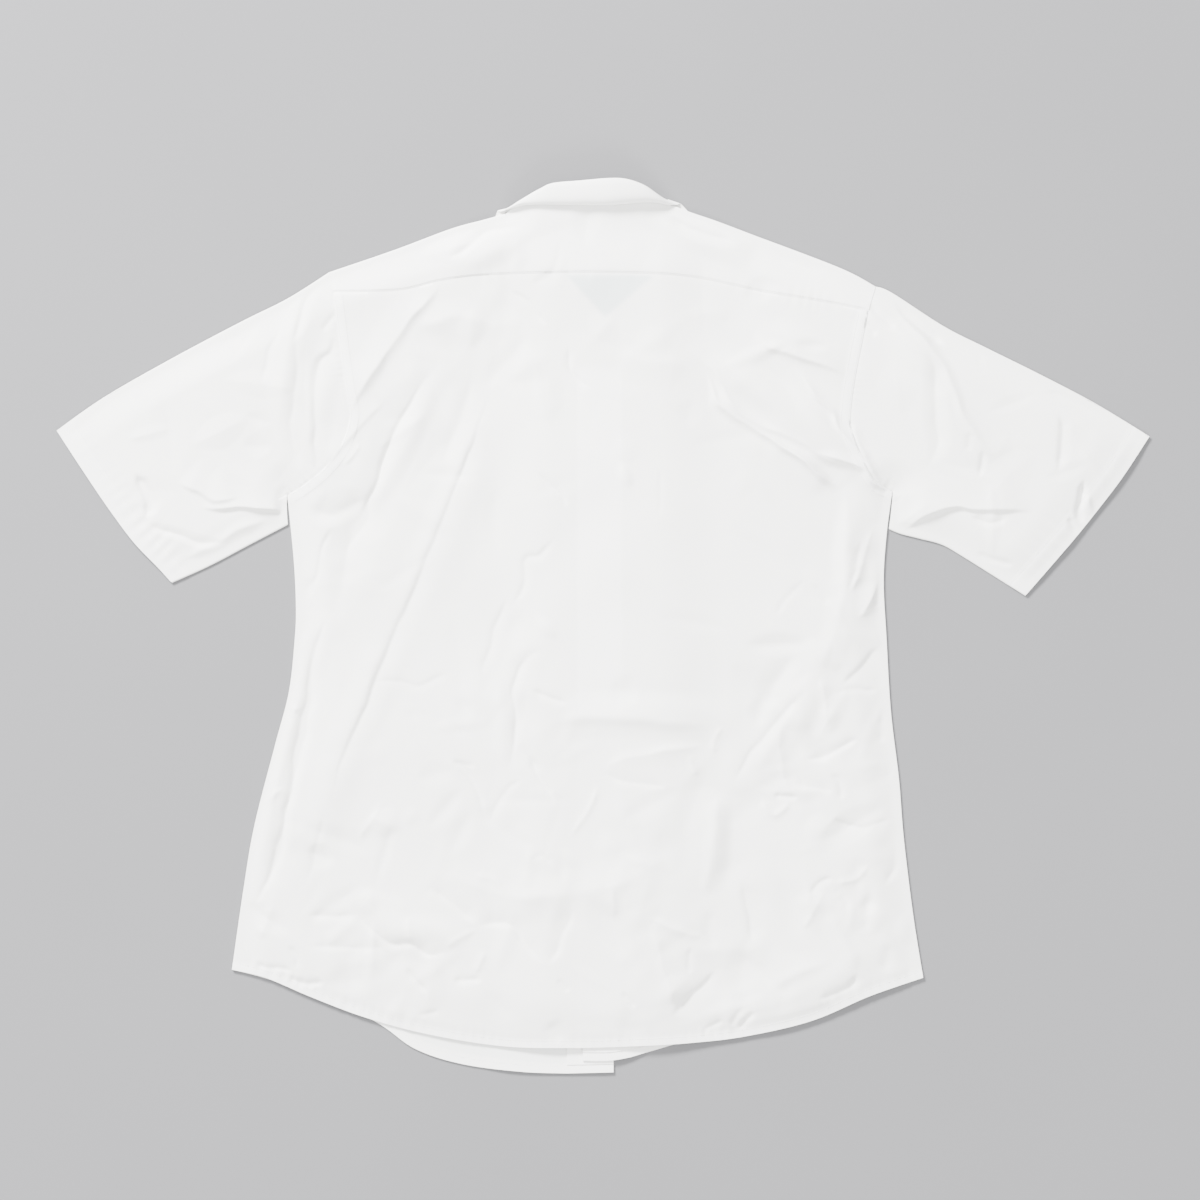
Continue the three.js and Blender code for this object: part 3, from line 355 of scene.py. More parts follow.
# %% Crease table
CREASES = [  # left, right, rise, points
    # from the left blade down to the side seam, and on down to the hem
    (8, 24, 2.6, "-150,320 -165,300 -185,278 -200,255 -215,235 -236,198"),
    (4, 12, 0.9, "-200,212 -215,197 -235,178 -258,148"),
    (4, 8, 0.7, "-226,172 -232,160 -240,150"),
    (20, 30, 2.2, "-172,276 -140,288 -102,280"),
    (30, 24, -4.4, "-148,256 -172,218 -190,192 -203,155 -220,108 -235,80 -240,48 -254,5"),
    (7, 5, -1.6, "-165,228 -190,190 -203,155 -220,108 -238,68"),
    (6, 4, -1.2, "-250,92 -260,75 -266,50 -269,35"),
    (24, 12, -3.0, "-275,110 -255,103 -238,109 -218,120"),
    (30, 16, -2.4, "-252,12 -268,-20 -274,-60 -285,-125 -294,-175 -307,-225 -328,-264"),
    (8, 6, -2.4, "-252,12 -262,-5 -270,-40 -276,-80 -285,-125 -294,-175 -300,-200 -307,-225 -328,-264"),
    (4, 8, 1.0, "-297,-70 -282,-77"),
    (4, 6, 1.0, "-301,-83 -293,-93"),
    (5, 7, 0.9, "-317,-166 -305,-155 -297,-150"),
    (8, 10, 0.9, "-308,-258 -313,-275 -318,-292"),
    # the long fold beside it
    (16, 6, -1.8, "-100,226 -110,200 -130,145 -150,95 -172,40 -190,0 -210,-48 -225,-88 -240,-120 -258,-172"),
    (10, 10, -0.9, "-120,235 -130,200 -150,150"),
    (6, 6, -0.6, "-258,-172 -268,-210 -275,-240"),
    (5, 7, -0.6, "-215,-52 -190,-50 -170,-54 -140,-42"),
    (6, 6, 0.7, "-205,-160 -215,-180 -228,-200"),
    # middle of the back
    (26, 10, 1.3, "-80,264 -68,250 -60,235 -56,205 -45,188"),
    (12, 26, 1.3, "12,257 40,246 80,244"),
    (5, 6, -0.9, "-33,262 -30,240 -20,228 -8,221"),
    (4, 6, -1.0, "-87,314 -70,303 -60,290 -52,280"),
    (5, 5, -0.7, "-68,318 -56,323 -47,328 -42,343 -40,358"),
    (6, 5, -1.1, "-62,145 -50,133 -38,121 -33,108"),
    (7, 5, -1.1, "-42,85 -58,67 -73,63 -74,42 -84,17"),
    (8, 6, -1.0, "-88,30 -95,10 -103,-10 -110,-35 -114,-52"),
    (5, 5, -0.5, "52,150 52,100"),
    (22, 14, -2.2, "-52,-20 -68,-25 -79,-45 -85,-62 -81,-85 -83,-120 -88,-138"),
    (7, 5, -1.0, "-66,-24 -79,-45 -85,-62 -81,-85 -83,-120"),
    (6, 6, -1.0, "-66,-57 -52,-65 -33,-70"),
    (30, 30, 1.4, "-135,-70 -110,-66 -90,-74"),
    (12, 9, 1.2, "-50,-90 -20,-85 20,-85 60,-88 100,-92"),
    (8, 16, 1.3, "0,-133 20,-122 50,-116 95,-110"),
    (10, 5, -1.1, "0,-136 20,-142 60,-147"),
    (6, 7, -1.3, "-70,-117 -62,-135 -45,-163"),
    (7, 6, -1.0, "-75,-141 -92,-155 -104,-182"),
    (6, 6, -1.2, "-142,-124 -130,-130 -120,-147 -108,-174"),
    (5, 6, -0.7, "-140,-125 -118,-129"),
    (6, 5, 0.8, "-5,-145 -12,-168 -30,-195"),
    (6, 6, -0.8, "-68,-217 -55,-213 -48,-222"),
    (6, 6, 0.7, "-120,-229 -105,-233 -90,-240"),
    (7, 6, 0.8, "112,-92 104,-105 103,-120"),
    (6, 6, 0.6, "80,-118 88,-138"),
    # from the right blade to the armhole
    (18, 7, 2.2, "82,258 104,234 122,203 150,186 185,172 205,156 245,143"),
    (14, 6, 3.2, "94,240 108,207 138,185 165,168 190,150 215,124"),
    (8, 26, 2.8, "150,178 175,162 200,142 218,128"),
    (10, 5, 1.7, "140,272 150,260 165,255 205,243 228,232"),
    (8, 5, 1.9, "178,241 195,217 212,200 219,182 240,158 262,127"),
    (8, 5, 1.1, "231,192 236,173 247,152"),
    (9, 5, 2.0, "196,162 222,154 240,147 250,134 268,124"),
    (14, 14, 0.8, "80,290 120,293"),
    # right side of the back
    (34, 14, 2.8, "226,132 228,92 224,55 222,25 216,-5 206,-30 202,-45"),
    (16, 7, 1.4, "202,-45 206,-65 209,-92"),
    (6, 8, 1.1, "253,93 244,72 230,30"),
    (6, 6, -1.0, "240,80 234,55 228,36"),
    (7, 14, 2.4, "262,72 258,48 249,22 236,7"),
    (5, 8, 0.7, "237,9 249,14 261,22"),
    (6, 18, -1.8, "221,-56 240,-37 258,-17"),
    (6, 6, -0.7, "214,-62 235,-58 258,-58"),
    (14, 18, -2.4, "180,-22 162,-50 147,-80"),
    (26, 20, -2.8, "190,-56 165,-82 143,-110 119,-147"),
    (8, 5, -1.0, "185,-62 165,-84 143,-111 122,-142"),
    (18, 10, 1.8, "108,-150 104,-180 101,-215 94,-252"),
    (8, 8, 1.0, "166,-90 163,-110 166,-128 173,-155"),
    (9, 5, -1.8, "188,-123 205,-120 240,-102"),
    (8, 6, -1.0, "176,-144 195,-148 213,-151"),
    (5, 6, -1.4, "157,-157 182,-158"),
    (6, 6, 1.0, "147,-159 160,-175 174,-161"),
    (6, 9, -1.3, "212,-178 238,-187 268,-177"),
    (6, 6, -0.9, "210,-136 218,-142 221,-162"),
    (6, 6, -1.0, "256,-85 264,-95 256,-108"),
    (6, 8, -1.2, "278,-200 272,-222 260,-240"),
    (5, 8, -1.0, "276,-124 264,-140"),
    (6, 6, -0.7, "160,9 172,30 190,43"),
    (6, 6, -0.7, "194,40 204,30 209,18"),
    # low on the left
    (14, 5, -2.2, "-240,-250 -226,-270 -208,-289 -193,-296 -178,-295 -163,-304 -145,-299"),
    (10, 16, 1.4, "-232,-247 -210,-252 -190,-258 -178,-270"),
    (9, 6, 1.0, "-181,-268 -180,-284 -177,-296"),
    (8, 7, -1.3, "-276,-268 -250,-268 -227,-267"),
    (10, 12, 1.1, "-258,-297 -250,-288 -228,-272"),
    (9, 5, -1.0, "-275,-297 -240,-297 -208,-298"),
    (18, 5, -2.2, "-162,-241 -140,-257 -119,-277"),
    (15, 6, -2.0, "-119,-280 -100,-275 -84,-277 -72,-293 -52,-314"),
    (16, 6, -2.0, "-52,-314 -42,-300 -37,-285 -27,-260"),
    (30, 28, 2.8, "-165,-222 -120,-240 -80,-250 -30,-248 10,-240 45,-222 72,-203"),
    (6, 5, -1.2, "-140,-329 -120,-328 -112,-328"),
    (6, 6, 0.8, "-146,-296 -130,-288 -117,-282"),
    (6, 8, 0.9, "-109,-300 -115,-312 -120,-323"),
    (5, 7, -1.2, "-184,-314 -175,-326 -163,-340"),
    (5, 5, -0.8, "-172,-360 -153,-358"),
    (6, 4, -1.6, "-323,-311 -315,-317 -300,-318 -286,-320"),
    (7, 4, -2.2, "-289,-324 -280,-331 -258,-329"),
    (6, 6, -0.9, "-292,-296 -284,-308 -285,-319"),
    # low in the middle and on the right
    (14, 7, 1.3, "44,-274 50,-295 55,-315 66,-356"),
    (7, 9, 1.0, "42,-269 60,-278 92,-290"),
    (6, 12, -1.8, "65,-363 80,-345 95,-331 107,-317"),
    (6, 20, -1.6, "138,-297 134,-265 130,-234"),
    (10, 10, -1.1, "102,-262 97,-283 104,-302"),
    (6, 6, -0.9, "82,-296 78,-322"),
    (6, 6, -0.9, "18,-340 30,-354"),
    (6, 6, -0.8, "-42,-326 -32,-340"),
    (6, 6, 0.6, "8,-236 9,-272"),
    (14, 14, -1.2, "-48,-366 -38,-386"),
    (5, 7, -1.7, "192,-248 203,-237 214,-231"),
    (7, 7, 1.2, "213,-238 235,-235 248,-221"),
    (7, 7, 1.0, "208,-244 196,-262 184,-280"),
    (6, 5, -0.8, "213,-242 222,-252 229,-264"),
    (10, 14, 1.7, "214,-257 217,-275 228,-300 236,-320"),
    (10, 10, -1.1, "249,-250 245,-270 243,-286"),
    (9, 9, -1.0, "266,-294 260,-322"),
    (22, 24, 3.0, "68,-373 100,-358 140,-346 165,-330 190,-318 218,-309"),
    (9, 8, -2.4, "236,-320 229,-335 200,-346"),
    (5, 5, -1.3, "94,-376 112,-364"),
    (5, 5, -1.0, "116,-372 129,-354"),
    (5, 5, -1.7, "123,-374 142,-356"),
    # across the yoke
    (10, 7, -2.4, "-148,341 -130,350 -118,360 -104,369 -76,372"),
    (8, 10, -2.0, "55,383 85,369 105,362 128,354"),
    (16, 14, -1.0, "155,352 215,335"),
    # left sleeve
    (9, 6, -1.7, "-262,327 -275,305 -281,285 -289,262"),
    (12, 12, -2.0, "-286,275 -284,240 -290,195 -286,165 -280,142"),
    (6, 4, -0.9, "-300,282 -308,262 -312,245 -318,225"),
    (20, 6, -2.2, "-247,280 -252,256 -264,243 -268,200 -267,155 -271,140"),
    (5, 5, -1.1, "-247,291 -260,274"),
    (26, 26, -1.0, "-352,276 -328,260"),
    (8, 6, 0.6, "-442,174 -400,185"),
    (10, 7, -3.2, "-437,141 -427,128 -421,115 -424,100"),
    (8, 6, -1.8, "-422,98 -416,91 -400,87 -372,78 -350,80"),
    (34, 4, 2.0, "-396,133 -378,127 -362,119 -335,120"),
    (44, 4, 2.8, "-376,112 -350,111 -330,112 -300,108 -288,104"),
    (9, 9, 1.2, "-390,62 -360,78 -335,92 -310,102"),
    # right sleeve
    (7, 6, -2.4, "270,304 288,285 304,270 320,261"),
    (8, 8, 1.6, "270,296 300,265 316,243 326,220 335,195 350,172 368,151"),
    (13, 13, -2.0, "302,262 307,240 308,205 312,170 300,148"),
    (6, 6, -0.8, "340,182 338,162"),
    (6, 5, -1.3, "353,165 349,138"),
    (10, 6, -1.6, "423,200 427,172 424,144"),
    (6, 9, -1.2, "408,218 430,216 446,210 466,196"),
    (7, 6, -3.0, "446,138 443,118 443,108 449,95"),
    (5, 6, 1.3, "448,124 457,103"),
    (5, 6, -1.3, "433,104 443,86"),
    (44, 4, 2.8, "270,87 283,93 300,104 328,112 350,109 402,109"),
    (6, 6, -1.2, "342,102 360,98 378,102"),
    (6, 5, -1.6, "345,69 360,62 384,57"),
    (5, 6, -1.1, "246,300 258,290 272,275"),
    (5, 6, -1.0, "242,286 256,271"),
]
CREASE_SCALE = 1.3

print(len(FOLDS), "folds and", len(CREASES), "creases")


# %% How far the creases lift the cloth
CRISP = 1.5  # above 1, a flank is steepest at its crease line and fades away from it
NARROW = 9   # a flank narrower than this needs a finer mesh


def flanks(aside, left, right):
    """Height beside a crease line, from 1 on the line to 0 at the outer edge of each flank."""
    return np.clip(1 - np.abs(aside) / np.where(aside > 0, left, right), 0, 1)**CRISP


def crease_line(words):
    return smooth_line([tuple(map(float, word.split(","))) for word in words.split()], steps=6)


CREASE_LINES = [(left, right, rise, crease_line(words)) for left, right, rise, words in CREASES]


def close_to(line, x, y, reach):
    low, high = line.min(0) - reach, line.max(0) + reach
    return (x > low[0]) & (x < high[0]) & (y > low[1]) & (y < high[1])


def wandered(x, y):
    """The same places, shifted a little, so that no crease is a drawn curve."""
    return x + 1.6 * noise(x, y, 17, 22), y + 1.6 * noise(x, y, 19, 23)


def crease_rise(x, y):
    """Sum of all creases at each point."""
    total = np.zeros(x.shape)
    unevenness = 1 + 0.4 * noise(x, y, 31, 21)
    wx, wy = wandered(x, y)
    for left, right, rise, line in CREASE_LINES:
        near = close_to(line, x, y, max(left, right) + 4)
        if not near.any():
            continue
        away, along, side = nearest(line, wx[near], wy[near])
        share = np.clip(along / lengths(line)[-1], 0, 1)
        fade = step(share / 0.25) * step((1 - share) / 0.25)
        taper = 0.45 + 0.55 * fade
        total[near] += rise * fade * flanks(side * away, left * taper, right * taper)
    return CREASE_SCALE * total * unevenness


# %% [markdown]
# ## What lies under what
#
# From the floor up there are the collar's two leaves, the left front over the buttons, the right front lapped
# over it, and the back. Each layer is lifted by the ones below it, and settles beyond their edges.

# %% Ground under each layer
LEAF = {  # outline of each collar leaf on the floor
    "left": [(-7, 292), (-20, 309), (-36, 328), (-60, 354), (-78, 374), (-89, 387.5), (-99, 384.5),
             (-106, 354), (-100, 327), (-84, 300), (-66, 270), (-44, 238), (-7, 292)],
    "right": [(61.5, 395.5), (69, 374), (63, 352), (50, 329), (30, 307), (10, 292), (46, 240), (72, 268),
              (88, 298), (100, 327), (103, 354), (79, 390.5), (61.5, 395.5)],
}
LEAF_BEYOND, LEAF_SLOPE = 6, 40        # a leaf lifts what lies over it this far beyond its edge, then less
CLOSING_TOP, CLOSING_FADE = 330, 50    # Y above which the closing no longer lifts the back
LAST_BUTTON, HEM_CLOSING = -250, -310  # Y of the last button, and where the left front is down on the floor
LATER = 45                             # each layer above it comes down this much nearer the hem
FACING_INNER, FACING_FREE = -33.7, 9.7  # X of the left facing's two edges
LEFT_SLOPE = 32                        # the left front comes down over this width beside its facing
RIGHT_DOWN, RIGHT_SLOPE = 38, 35       # the right front is down this far beyond the left one
BACK_DOWN, BACK_SLOPE = (-108, 112), (64, 62)  # X where the back is down on each side of the closing


def inside(outline, x, y):
    result = np.zeros(x.shape, bool)
    for (ax, ay), (bx, by) in zip(outline[:-1], outline[1:]):
        crosses = (ay > y) != (by > y)
        result ^= crosses & (x < ax + (bx - ax) * (y - ay) / (by - ay if by != ay else 1))
    return result


def leaf_lift(x, y):
    lift = np.zeros(x.shape)
    for outline in LEAF.values():
        away = nearest(np.array(outline, float), x, y)[0]
        away = np.where(inside(outline, x, y), 0, away)
        lift = np.maximum(lift, LEAF_LIFT * (1 - step((away - LEAF_BEYOND) / LEAF_SLOPE)))
    return lift


def button_lift(y, layer):
    return BUTTON_LIFT * step((y + layer * LATER - HEM_CLOSING) / (LAST_BUTTON - HEM_CLOSING))


def front_under(side, x, y):
    """Underside of each front."""
    if side == "left":
        closing = button_lift(y, 0) * step((x - FACING_INNER + LEFT_SLOPE) / LEFT_SLOPE)
    else:
        closing = (button_lift(y, 1) + 2 * PITCH) * step((FACING_FREE + RIGHT_DOWN - x) / RIGHT_SLOPE)
    return np.maximum(leaf_lift(x, y), closing)


def ground_top(x, y):
    """Top of all that lies under the back."""
    from_left, from_right = x - BACK_DOWN[0], BACK_DOWN[1] - x
    across = step(from_left / BACK_SLOPE[0]) * step(from_right / BACK_SLOPE[1])
    closing = (button_lift(y, 2) + 3 * PITCH) * across * (1 - step((y - CLOSING_TOP) / CLOSING_FADE))
    return CLOTH + np.maximum(leaf_lift(x, y), closing)


# %% [markdown]
# ## The upper layer
#
# The back, the yoke and the top of each sleeve share one height. It is low along the folded and sewn edges,
# stands a few millimetres off between them where air stays in the shirt, and carries all the creases. The
# standing collar pulls the yoke up behind the neck.

# %% Height of the upper layer
AIR = 5.0                       # how high the air holds the cloth up
EDGE_TURN = 1.2                 # how far in from a fold the flat cloth begins
AIR_SLOPE, CREASE_SLOPE = 32, 11  # over these widths beside a closed edge the air and the creases build up
AIR_LEFT, OPEN_SLOPE = 0.35, 45  # share of the air left at an open edge, and the width beside it
PRESSED, PRESSED_SLOPE = 0.25, 14  # share of the height that stays at a hem
WAVE, WAVE_REACH = 0.5, 30      # height of a hem's own waves
LEAST = 0.6                     # where creases would go lower than this, the cloth levels off
SETTLED, SEWN_DOWN = 0.05, 3    # how far all of it settles, and the width held down beside a closed edge
NECK_PULL, NECK_PLACE, NECK_REACH = 7, (-10, 402), (62, 42)


def edge_lines():
    """Lines of the folded and sewn edges, and of the open ones."""
    kinds = (SHOULDER, 3), (SIDE_SEAM, 3), (SLEEVE_TOP, 3), (PIT, 2), (UNDERARM, 3)
    closed = [smooth_line(table[side], steps) for side in SIDES for table, steps in kinds]
    return closed, [smooth_line(line, 3) for line in (BACK_HEM, CUFF["left"], CUFF["right"])]


CLOSED_EDGES, OPEN_EDGES = edge_lines()


def least_distance(lines, x, y):
    best = np.full(x.shape, np.inf)
    for line in lines:
        best = np.minimum(best, nearest(line, x, y)[0])
    return best


def upper_under(x, y):
    """Underside of the upper layer."""
    x, y = np.asarray(x, float), np.asarray(y, float)
    from_closed = least_distance(CLOSED_EDGES, x, y)
    from_open = least_distance(OPEN_EDGES, x, y)
    held = step((from_closed - EDGE_TURN) / AIR_SLOPE)
    opened = AIR_LEFT + (1 - AIR_LEFT) * step(from_open / OPEN_SLOPE)
    air = AIR * held * opened * (1 + 0.35 * noise(x, y, 120, 31) + 0.2 * noise(x, y, 55, 32))
    near_edge = step((from_closed - EDGE_TURN) / CREASE_SLOPE)
    height = air + (fold_rise(x, y) + crease_rise(x, y) + facets(x, y)) * near_edge
    height = np.where(height > LEAST, height, LEAST * np.exp(np.minimum(height, LEAST) / LEAST - 1))
    height = height * (PRESSED + (1 - PRESSED) * step(from_open / PRESSED_SLOPE))
    height = height + WAVE * step(1 - from_open / WAVE_REACH) * (1 + noise(x, y, 34, 33)) * held
    neck_x, neck_y = (x - NECK_PLACE[0]) / NECK_REACH[0], (y - NECK_PLACE[1]) / NECK_REACH[1]
    neck = NECK_PULL * np.exp(-neck_x**2 - neck_y**2)
    loose = np.maximum(height - SETTLED, 0) * step(from_closed / SEWN_DOWN)
    return ground_top(x, y) + LAYER_GAP + loose + neck


# %% [markdown]
# ## Seams, hems and puckers
#
# A turned hem is a band of doubled cloth with a line of stitches along its inner edge. The thread pulls the
# cloth in, so small puckers run across the band. A seam shows as a narrow groove with a soft ridge beside
# it, where the allowance lies underneath.

# %% Bands and grooves
HEM_LINE = smooth_line(BACK_HEM, 8)
CUFF_LINE = {side: smooth_line(CUFF[side], 8) for side in SIDES}
YOKE_LINE = smooth_line(YOKE_SEAM, 8)
ARMHOLE_LINE = {side: smooth_line(ARMHOLE[side], 8) for side in SIDES}
TURN_SLOPE = 1.6                        # width of the slope at a turned hem's inner edge
RIDGE_THICK, RIDGE_SLOPE = 0.5, 2.5     # of a seam's allowance under the cloth
PUCKER_FADE, PUCKER_REACH = 12, 9       # puckers end before a hem does, and reach this far from a seam


def groove(away, deep, wide):
    """Depth of a line of stitches in the cloth."""
    return -deep * np.exp(-(away / wide)**2)


def along_noise(along, size, seed):
    return noise(along, 0 * along, size, seed)


def band(line, x, y, depth, groove_at, thick, pucker, every, seed):
    """Extra height of a turned edge: the band, its stitch groove and its puckers."""
    away, along, _ = nearest(line, x, y)
    ends = lengths(line)[-1]
    inner_edge = thick * step((depth + TURN_SLOPE / 2 - away) / TURN_SLOPE)
    uneven = 1 + 0.9 * along_noise(along, 41, seed)
    ripple = np.sin(2 * np.pi * along / every + 2.2 * along_noise(along, 23, seed + 1))
    across = np.exp(-((away - groove_at) / (0.55 * depth + 2))**2)
    fade = step(along / PUCKER_FADE) * step((ends - along) / PUCKER_FADE)
    puckers = pucker * np.maximum(uneven, 0) * ripple * across * fade
    return inner_edge + groove(away - groove_at, 0.32, 1.0) + puckers


def seam(line, x, y, ridge_side, pucker, every, seed, allowance=SEAM_ALLOWANCE):
    """Extra height beside a sewn seam: a groove on the line and the allowance under one side."""
    away, along, side = nearest(line, x, y)
    ridge = RIDGE_THICK * step((allowance - away) / RIDGE_SLOPE) * (side * ridge_side > 0)
    phase = 4 * along_noise(along, 29, seed) + 2 * along_noise(along, 9, seed)
    ripple = np.sin(2 * np.pi * along / every + phase)
    uneven = np.maximum(0.5 + 1.1 * along_noise(along, 37, seed + 1), 0)
    return ridge + groove(away, 0.35, 1.8) + pucker * uneven * ripple * np.exp(-(away / PUCKER_REACH)**2)


def yoke_seam(x, y):
    return seam(YOKE_LINE, x, y, ridge_side=1, pucker=0.22, every=13, seed=52, allowance=0)


def armhole_seam(side, x, y):
    return seam(ARMHOLE_LINE[side], x, y, ridge_side=-OUTWARD[side], pucker=0.18, every=6.5, seed=53)


# %% [markdown]
# ## Where white cloth isn't quite white
#
# One layer of thin cotton lets a little of what is under it show. The neck opening is a darker triangle below
# the yoke: painted shade, where the shaded space under the neck lies beneath the cloth. The doubled fronts are
# a paler band down the middle, and seam allowances are pale lines. The fronts get painted shade too, for lying
# in the shade under the back. Each vertex gets a tone for this, which the material turns into colour.

# %% Tone of the cloth
# outline of the painted shade where the neck opening lies under the back
NECK_OPENING = [(-35, 327.5), (49, 327.5), (2, 287.5), (-35, 327.5)]
CLOSING_BAND = {"left": -24, "right": 17.5, "top": 248, "fades": -79}


def soft_inside(outline, x, y, blur):
    away = nearest(np.array(outline, float), x, y)[0]
    return step(0.5 + np.where(inside(outline, x, y), away, -away) / blur)


def back_tone(x, y):
    # painted shade: a darker triangle where the shaded space of the neck opening lies under the cloth
    tone = -0.9 * soft_inside(NECK_OPENING, x, y, 5) * step((327 - y) / 2)
    across = step((x - CLOSING_BAND["left"]) / 3 + 0.5) * step((CLOSING_BAND["right"] - x) / 3 + 0.5)
    down = step((CLOSING_BAND["top"] - y) / 14) * (0.35 + 0.65 * step((y - CLOSING_BAND["fades"]) / 20 + 0.5))
    tone = tone + 0.9 * across * down
    for side in SIDES:
        away, _, which = nearest(ARMHOLE_LINE[side], x, y)
        tone = tone + 0.8 * step((SEAM_ALLOWANCE - away) / 2) * (which * -OUTWARD[side] > 0)
    return tone + 0.9 * step((HEM - nearest(HEM_LINE, x, y)[0]) / 1.5)


# %% [markdown]
# ## From points to a closed shell
#
# Each piece is made from two grids of points, the outer face and the inner face of the cloth. The helper
# joins them with a rim along every free edge, so the piece is one closed thin shell, and turns its faces
# outwards. Its UV map is the cloth's own grain, in metres.

# %% Shell builder
RIM_TURN, FINE_RIM_TURN = 62, 80  # edges that turn by more degrees are sharp, on a sheet and on a lined one


def new_piece(name, points, faces):
    """A smooth-shaded object from points in metres."""
    mesh = bpy.data.meshes.new(name)
    mesh.from_pydata(points.tolist(), [], faces)
    mesh.validate()
    mesh.polygons.foreach_set("use_smooth", np.ones(len(mesh.polygons), bool))
    piece = bpy.data.objects.new(name, mesh)
    bpy.context.scene.collection.objects.link(piece)
    return piece


def add_grain(mesh, degrees):
    """UV map along the cloth's grain, in metres."""
    co = np.zeros(len(mesh.vertices) * 3)
    mesh.vertices.foreach_get("co", co)
    u, v = turned(co[0::3], co[1::3], degrees)
    corner = np.zeros(len(mesh.loops), int)
    mesh.loops.foreach_get("vertex_index", corner)
    layer = mesh.uv_layers.new(name="grain")
    layer.data.foreach_set("uv", np.column_stack([u, v])[corner].ravel())


def cloth_piece(name, points, faces, grain, shades, rim_turn):
    """A piece of cloth with its grain and its tone, whose rim shades crisply."""
    piece = new_piece(name, points, faces)
    add_grain(piece.data, grain)
    tone = piece.data.attributes.new("tone", "FLOAT", "POINT")
    tone.data.foreach_set("value", shades.astype(np.float32))
    shape = bmesh.new()
    shape.from_mesh(piece.data)
    for edge in shape.edges:
        if len(edge.link_faces) == 2 and edge.calc_face_angle(0) > math.radians(rim_turn):
            edge.smooth = False
    shape.to_mesh(piece.data)
    shape.free()
    return piece


def raised(points, heights):
    return np.dstack([points, heights])


def grid_quads(index):
    """The four corners of each cell of a grid of point numbers."""
    return np.stack([index[:-1, :-1], index[1:, :-1], index[1:, 1:], index[:-1, 1:]], axis=-1)


def closed_sheet(name, outer, inner, ring=False, kept=None, grain=0.0, tone=None):
    """One closed shell from rows of outer and inner points. A ring joins each row's end to its start."""
    rows, columns = outer.shape[:2]
    index = np.arange(rows * columns).reshape(rows, columns)
    if ring:
        index = np.hstack([index, index[:, :1]])
    quads = grid_quads(index)
    quads = quads.reshape(-1, 4) if kept is None else quads[kept]
    count = rows * columns
    edges = np.concatenate([quads[:, [k, (k + 1) % 4]] for k in range(4)])
    rim = edges[~np.isin(edges[:, 0] * count + edges[:, 1], edges[:, 1] * count + edges[:, 0])]
    sides = np.column_stack([rim[:, 1], rim[:, 0], rim[:, 0] + count, rim[:, 1] + count])
    faces = np.concatenate([quads, quads[:, ::-1] + count, sides])
    used, faces = np.unique(faces, return_inverse=True)
    faces = faces.reshape(-1, 4)
    points = np.concatenate([outer.reshape(-1, 3), inner.reshape(-1, 3)])[used] * MM
    a, b, c, d = (points[faces[:, k]] for k in range(4))
    volume = (np.einsum("ij,ij->", a, np.cross(b, c)) + np.einsum("ij,ij->", a, np.cross(c, d))) / 6
    if volume < 0:
        faces = faces[:, ::-1]
    shades = np.zeros(count) if tone is None else np.asarray(tone, float).reshape(-1)
    shades = np.concatenate([shades, shades])[used]
    print(f"{name}: {2 * len(faces)} triangles, {abs(volume) / MM**3 / 1000:.1f} cm3")
    return cloth_piece(name, points, faces.tolist(), grain, shades, RIM_TURN)


def refined(grid, marked):
    """The plan grid as a mesh whose marked cells are split in four. Its first points are the grid's own."""
    rows, columns = grid.shape[:2]
    cells = grid_quads(np.arange(rows * columns).reshape(rows, columns)).reshape(-1, 4)
    mesh = bpy.data.meshes.new("plan")
    flat = np.column_stack([grid.reshape(-1, 2), np.zeros(rows * columns)])
    mesh.from_pydata(flat.tolist(), [], cells.tolist())
    shape = bmesh.new()
    shape.from_mesh(mesh)
    shape.faces.ensure_lookup_table()
    chosen = np.flatnonzero(marked.reshape(-1))
    edges = {edge for k in chosen for edge in shape.faces[k].edges}
    bmesh.ops.subdivide_edges(shape, edges=list(edges), cuts=1, use_grid_fill=True)
    shape.verts.index_update()
    points = np.array([vertex.co[:2] for vertex in shape.verts])
    faces = [[vertex.index for vertex in face.verts] for face in shape.faces]
    shape.free()
    bpy.data.meshes.remove(mesh)
    return points, faces


def lined_sheet(name, grid, marked, under_at, tone_at):
    """A closed shell with fine points where the cloth is creased, and half as many points underneath."""
    rows, columns = grid.shape[:2]
    points, top = refined(grid, marked)
    under = under_at(points[:, 0], points[:, 1])
    own = np.pad(under[:rows * columns].reshape(rows, columns), 1, mode="edge")
    lowest = np.min([own[a:a + rows, b:b + columns] for a in range(3) for b in range(3)], axis=0)
    inner = raised(grid[::2, ::2], lowest[::2, ::2])
    fine = np.arange(rows * columns).reshape(rows, columns)
    wide = np.arange(inner.shape[0] * inner.shape[1]).reshape(inner.shape[:2]) + len(points)
    base = np.stack([wide[:-1, :-1], wide[:-1, 1:], wide[1:, 1:], wide[1:, :-1]], axis=-1).reshape(-1, 4)
    rim = []
    for a, b in ((fine[0], wide[0]), (fine[:, -1], wide[:, -1]), (fine[-1, ::-1], wide[-1, ::-1]),
                 (fine[::-1, 0], wide[::-1, 0])):
        for k in range(len(b) - 1):
            start, halfway, end = a[2 * k:2 * k + 3]
            rim += [[start, halfway, b[k]], [halfway, b[k + 1], b[k]], [halfway, end, b[k + 1]]]
    corners = np.concatenate([np.column_stack([points, under + CLOTH]), inner.reshape(-1, 3)]) * MM
    faces = [*top, *base.tolist(), *[[int(v) for v in face] for face in rim]]
    shades = tone_at(corners[:, 0] / MM, corners[:, 1] / MM)
    triangles = sum(len(face) - 2 for face in top) + 2 * len(base) + len(rim)
    print(f"{name}: {triangles} triangles, {len(points)} points on its face")
    return cloth_piece(name, corners, faces, 0, shades, FINE_RIM_TURN)


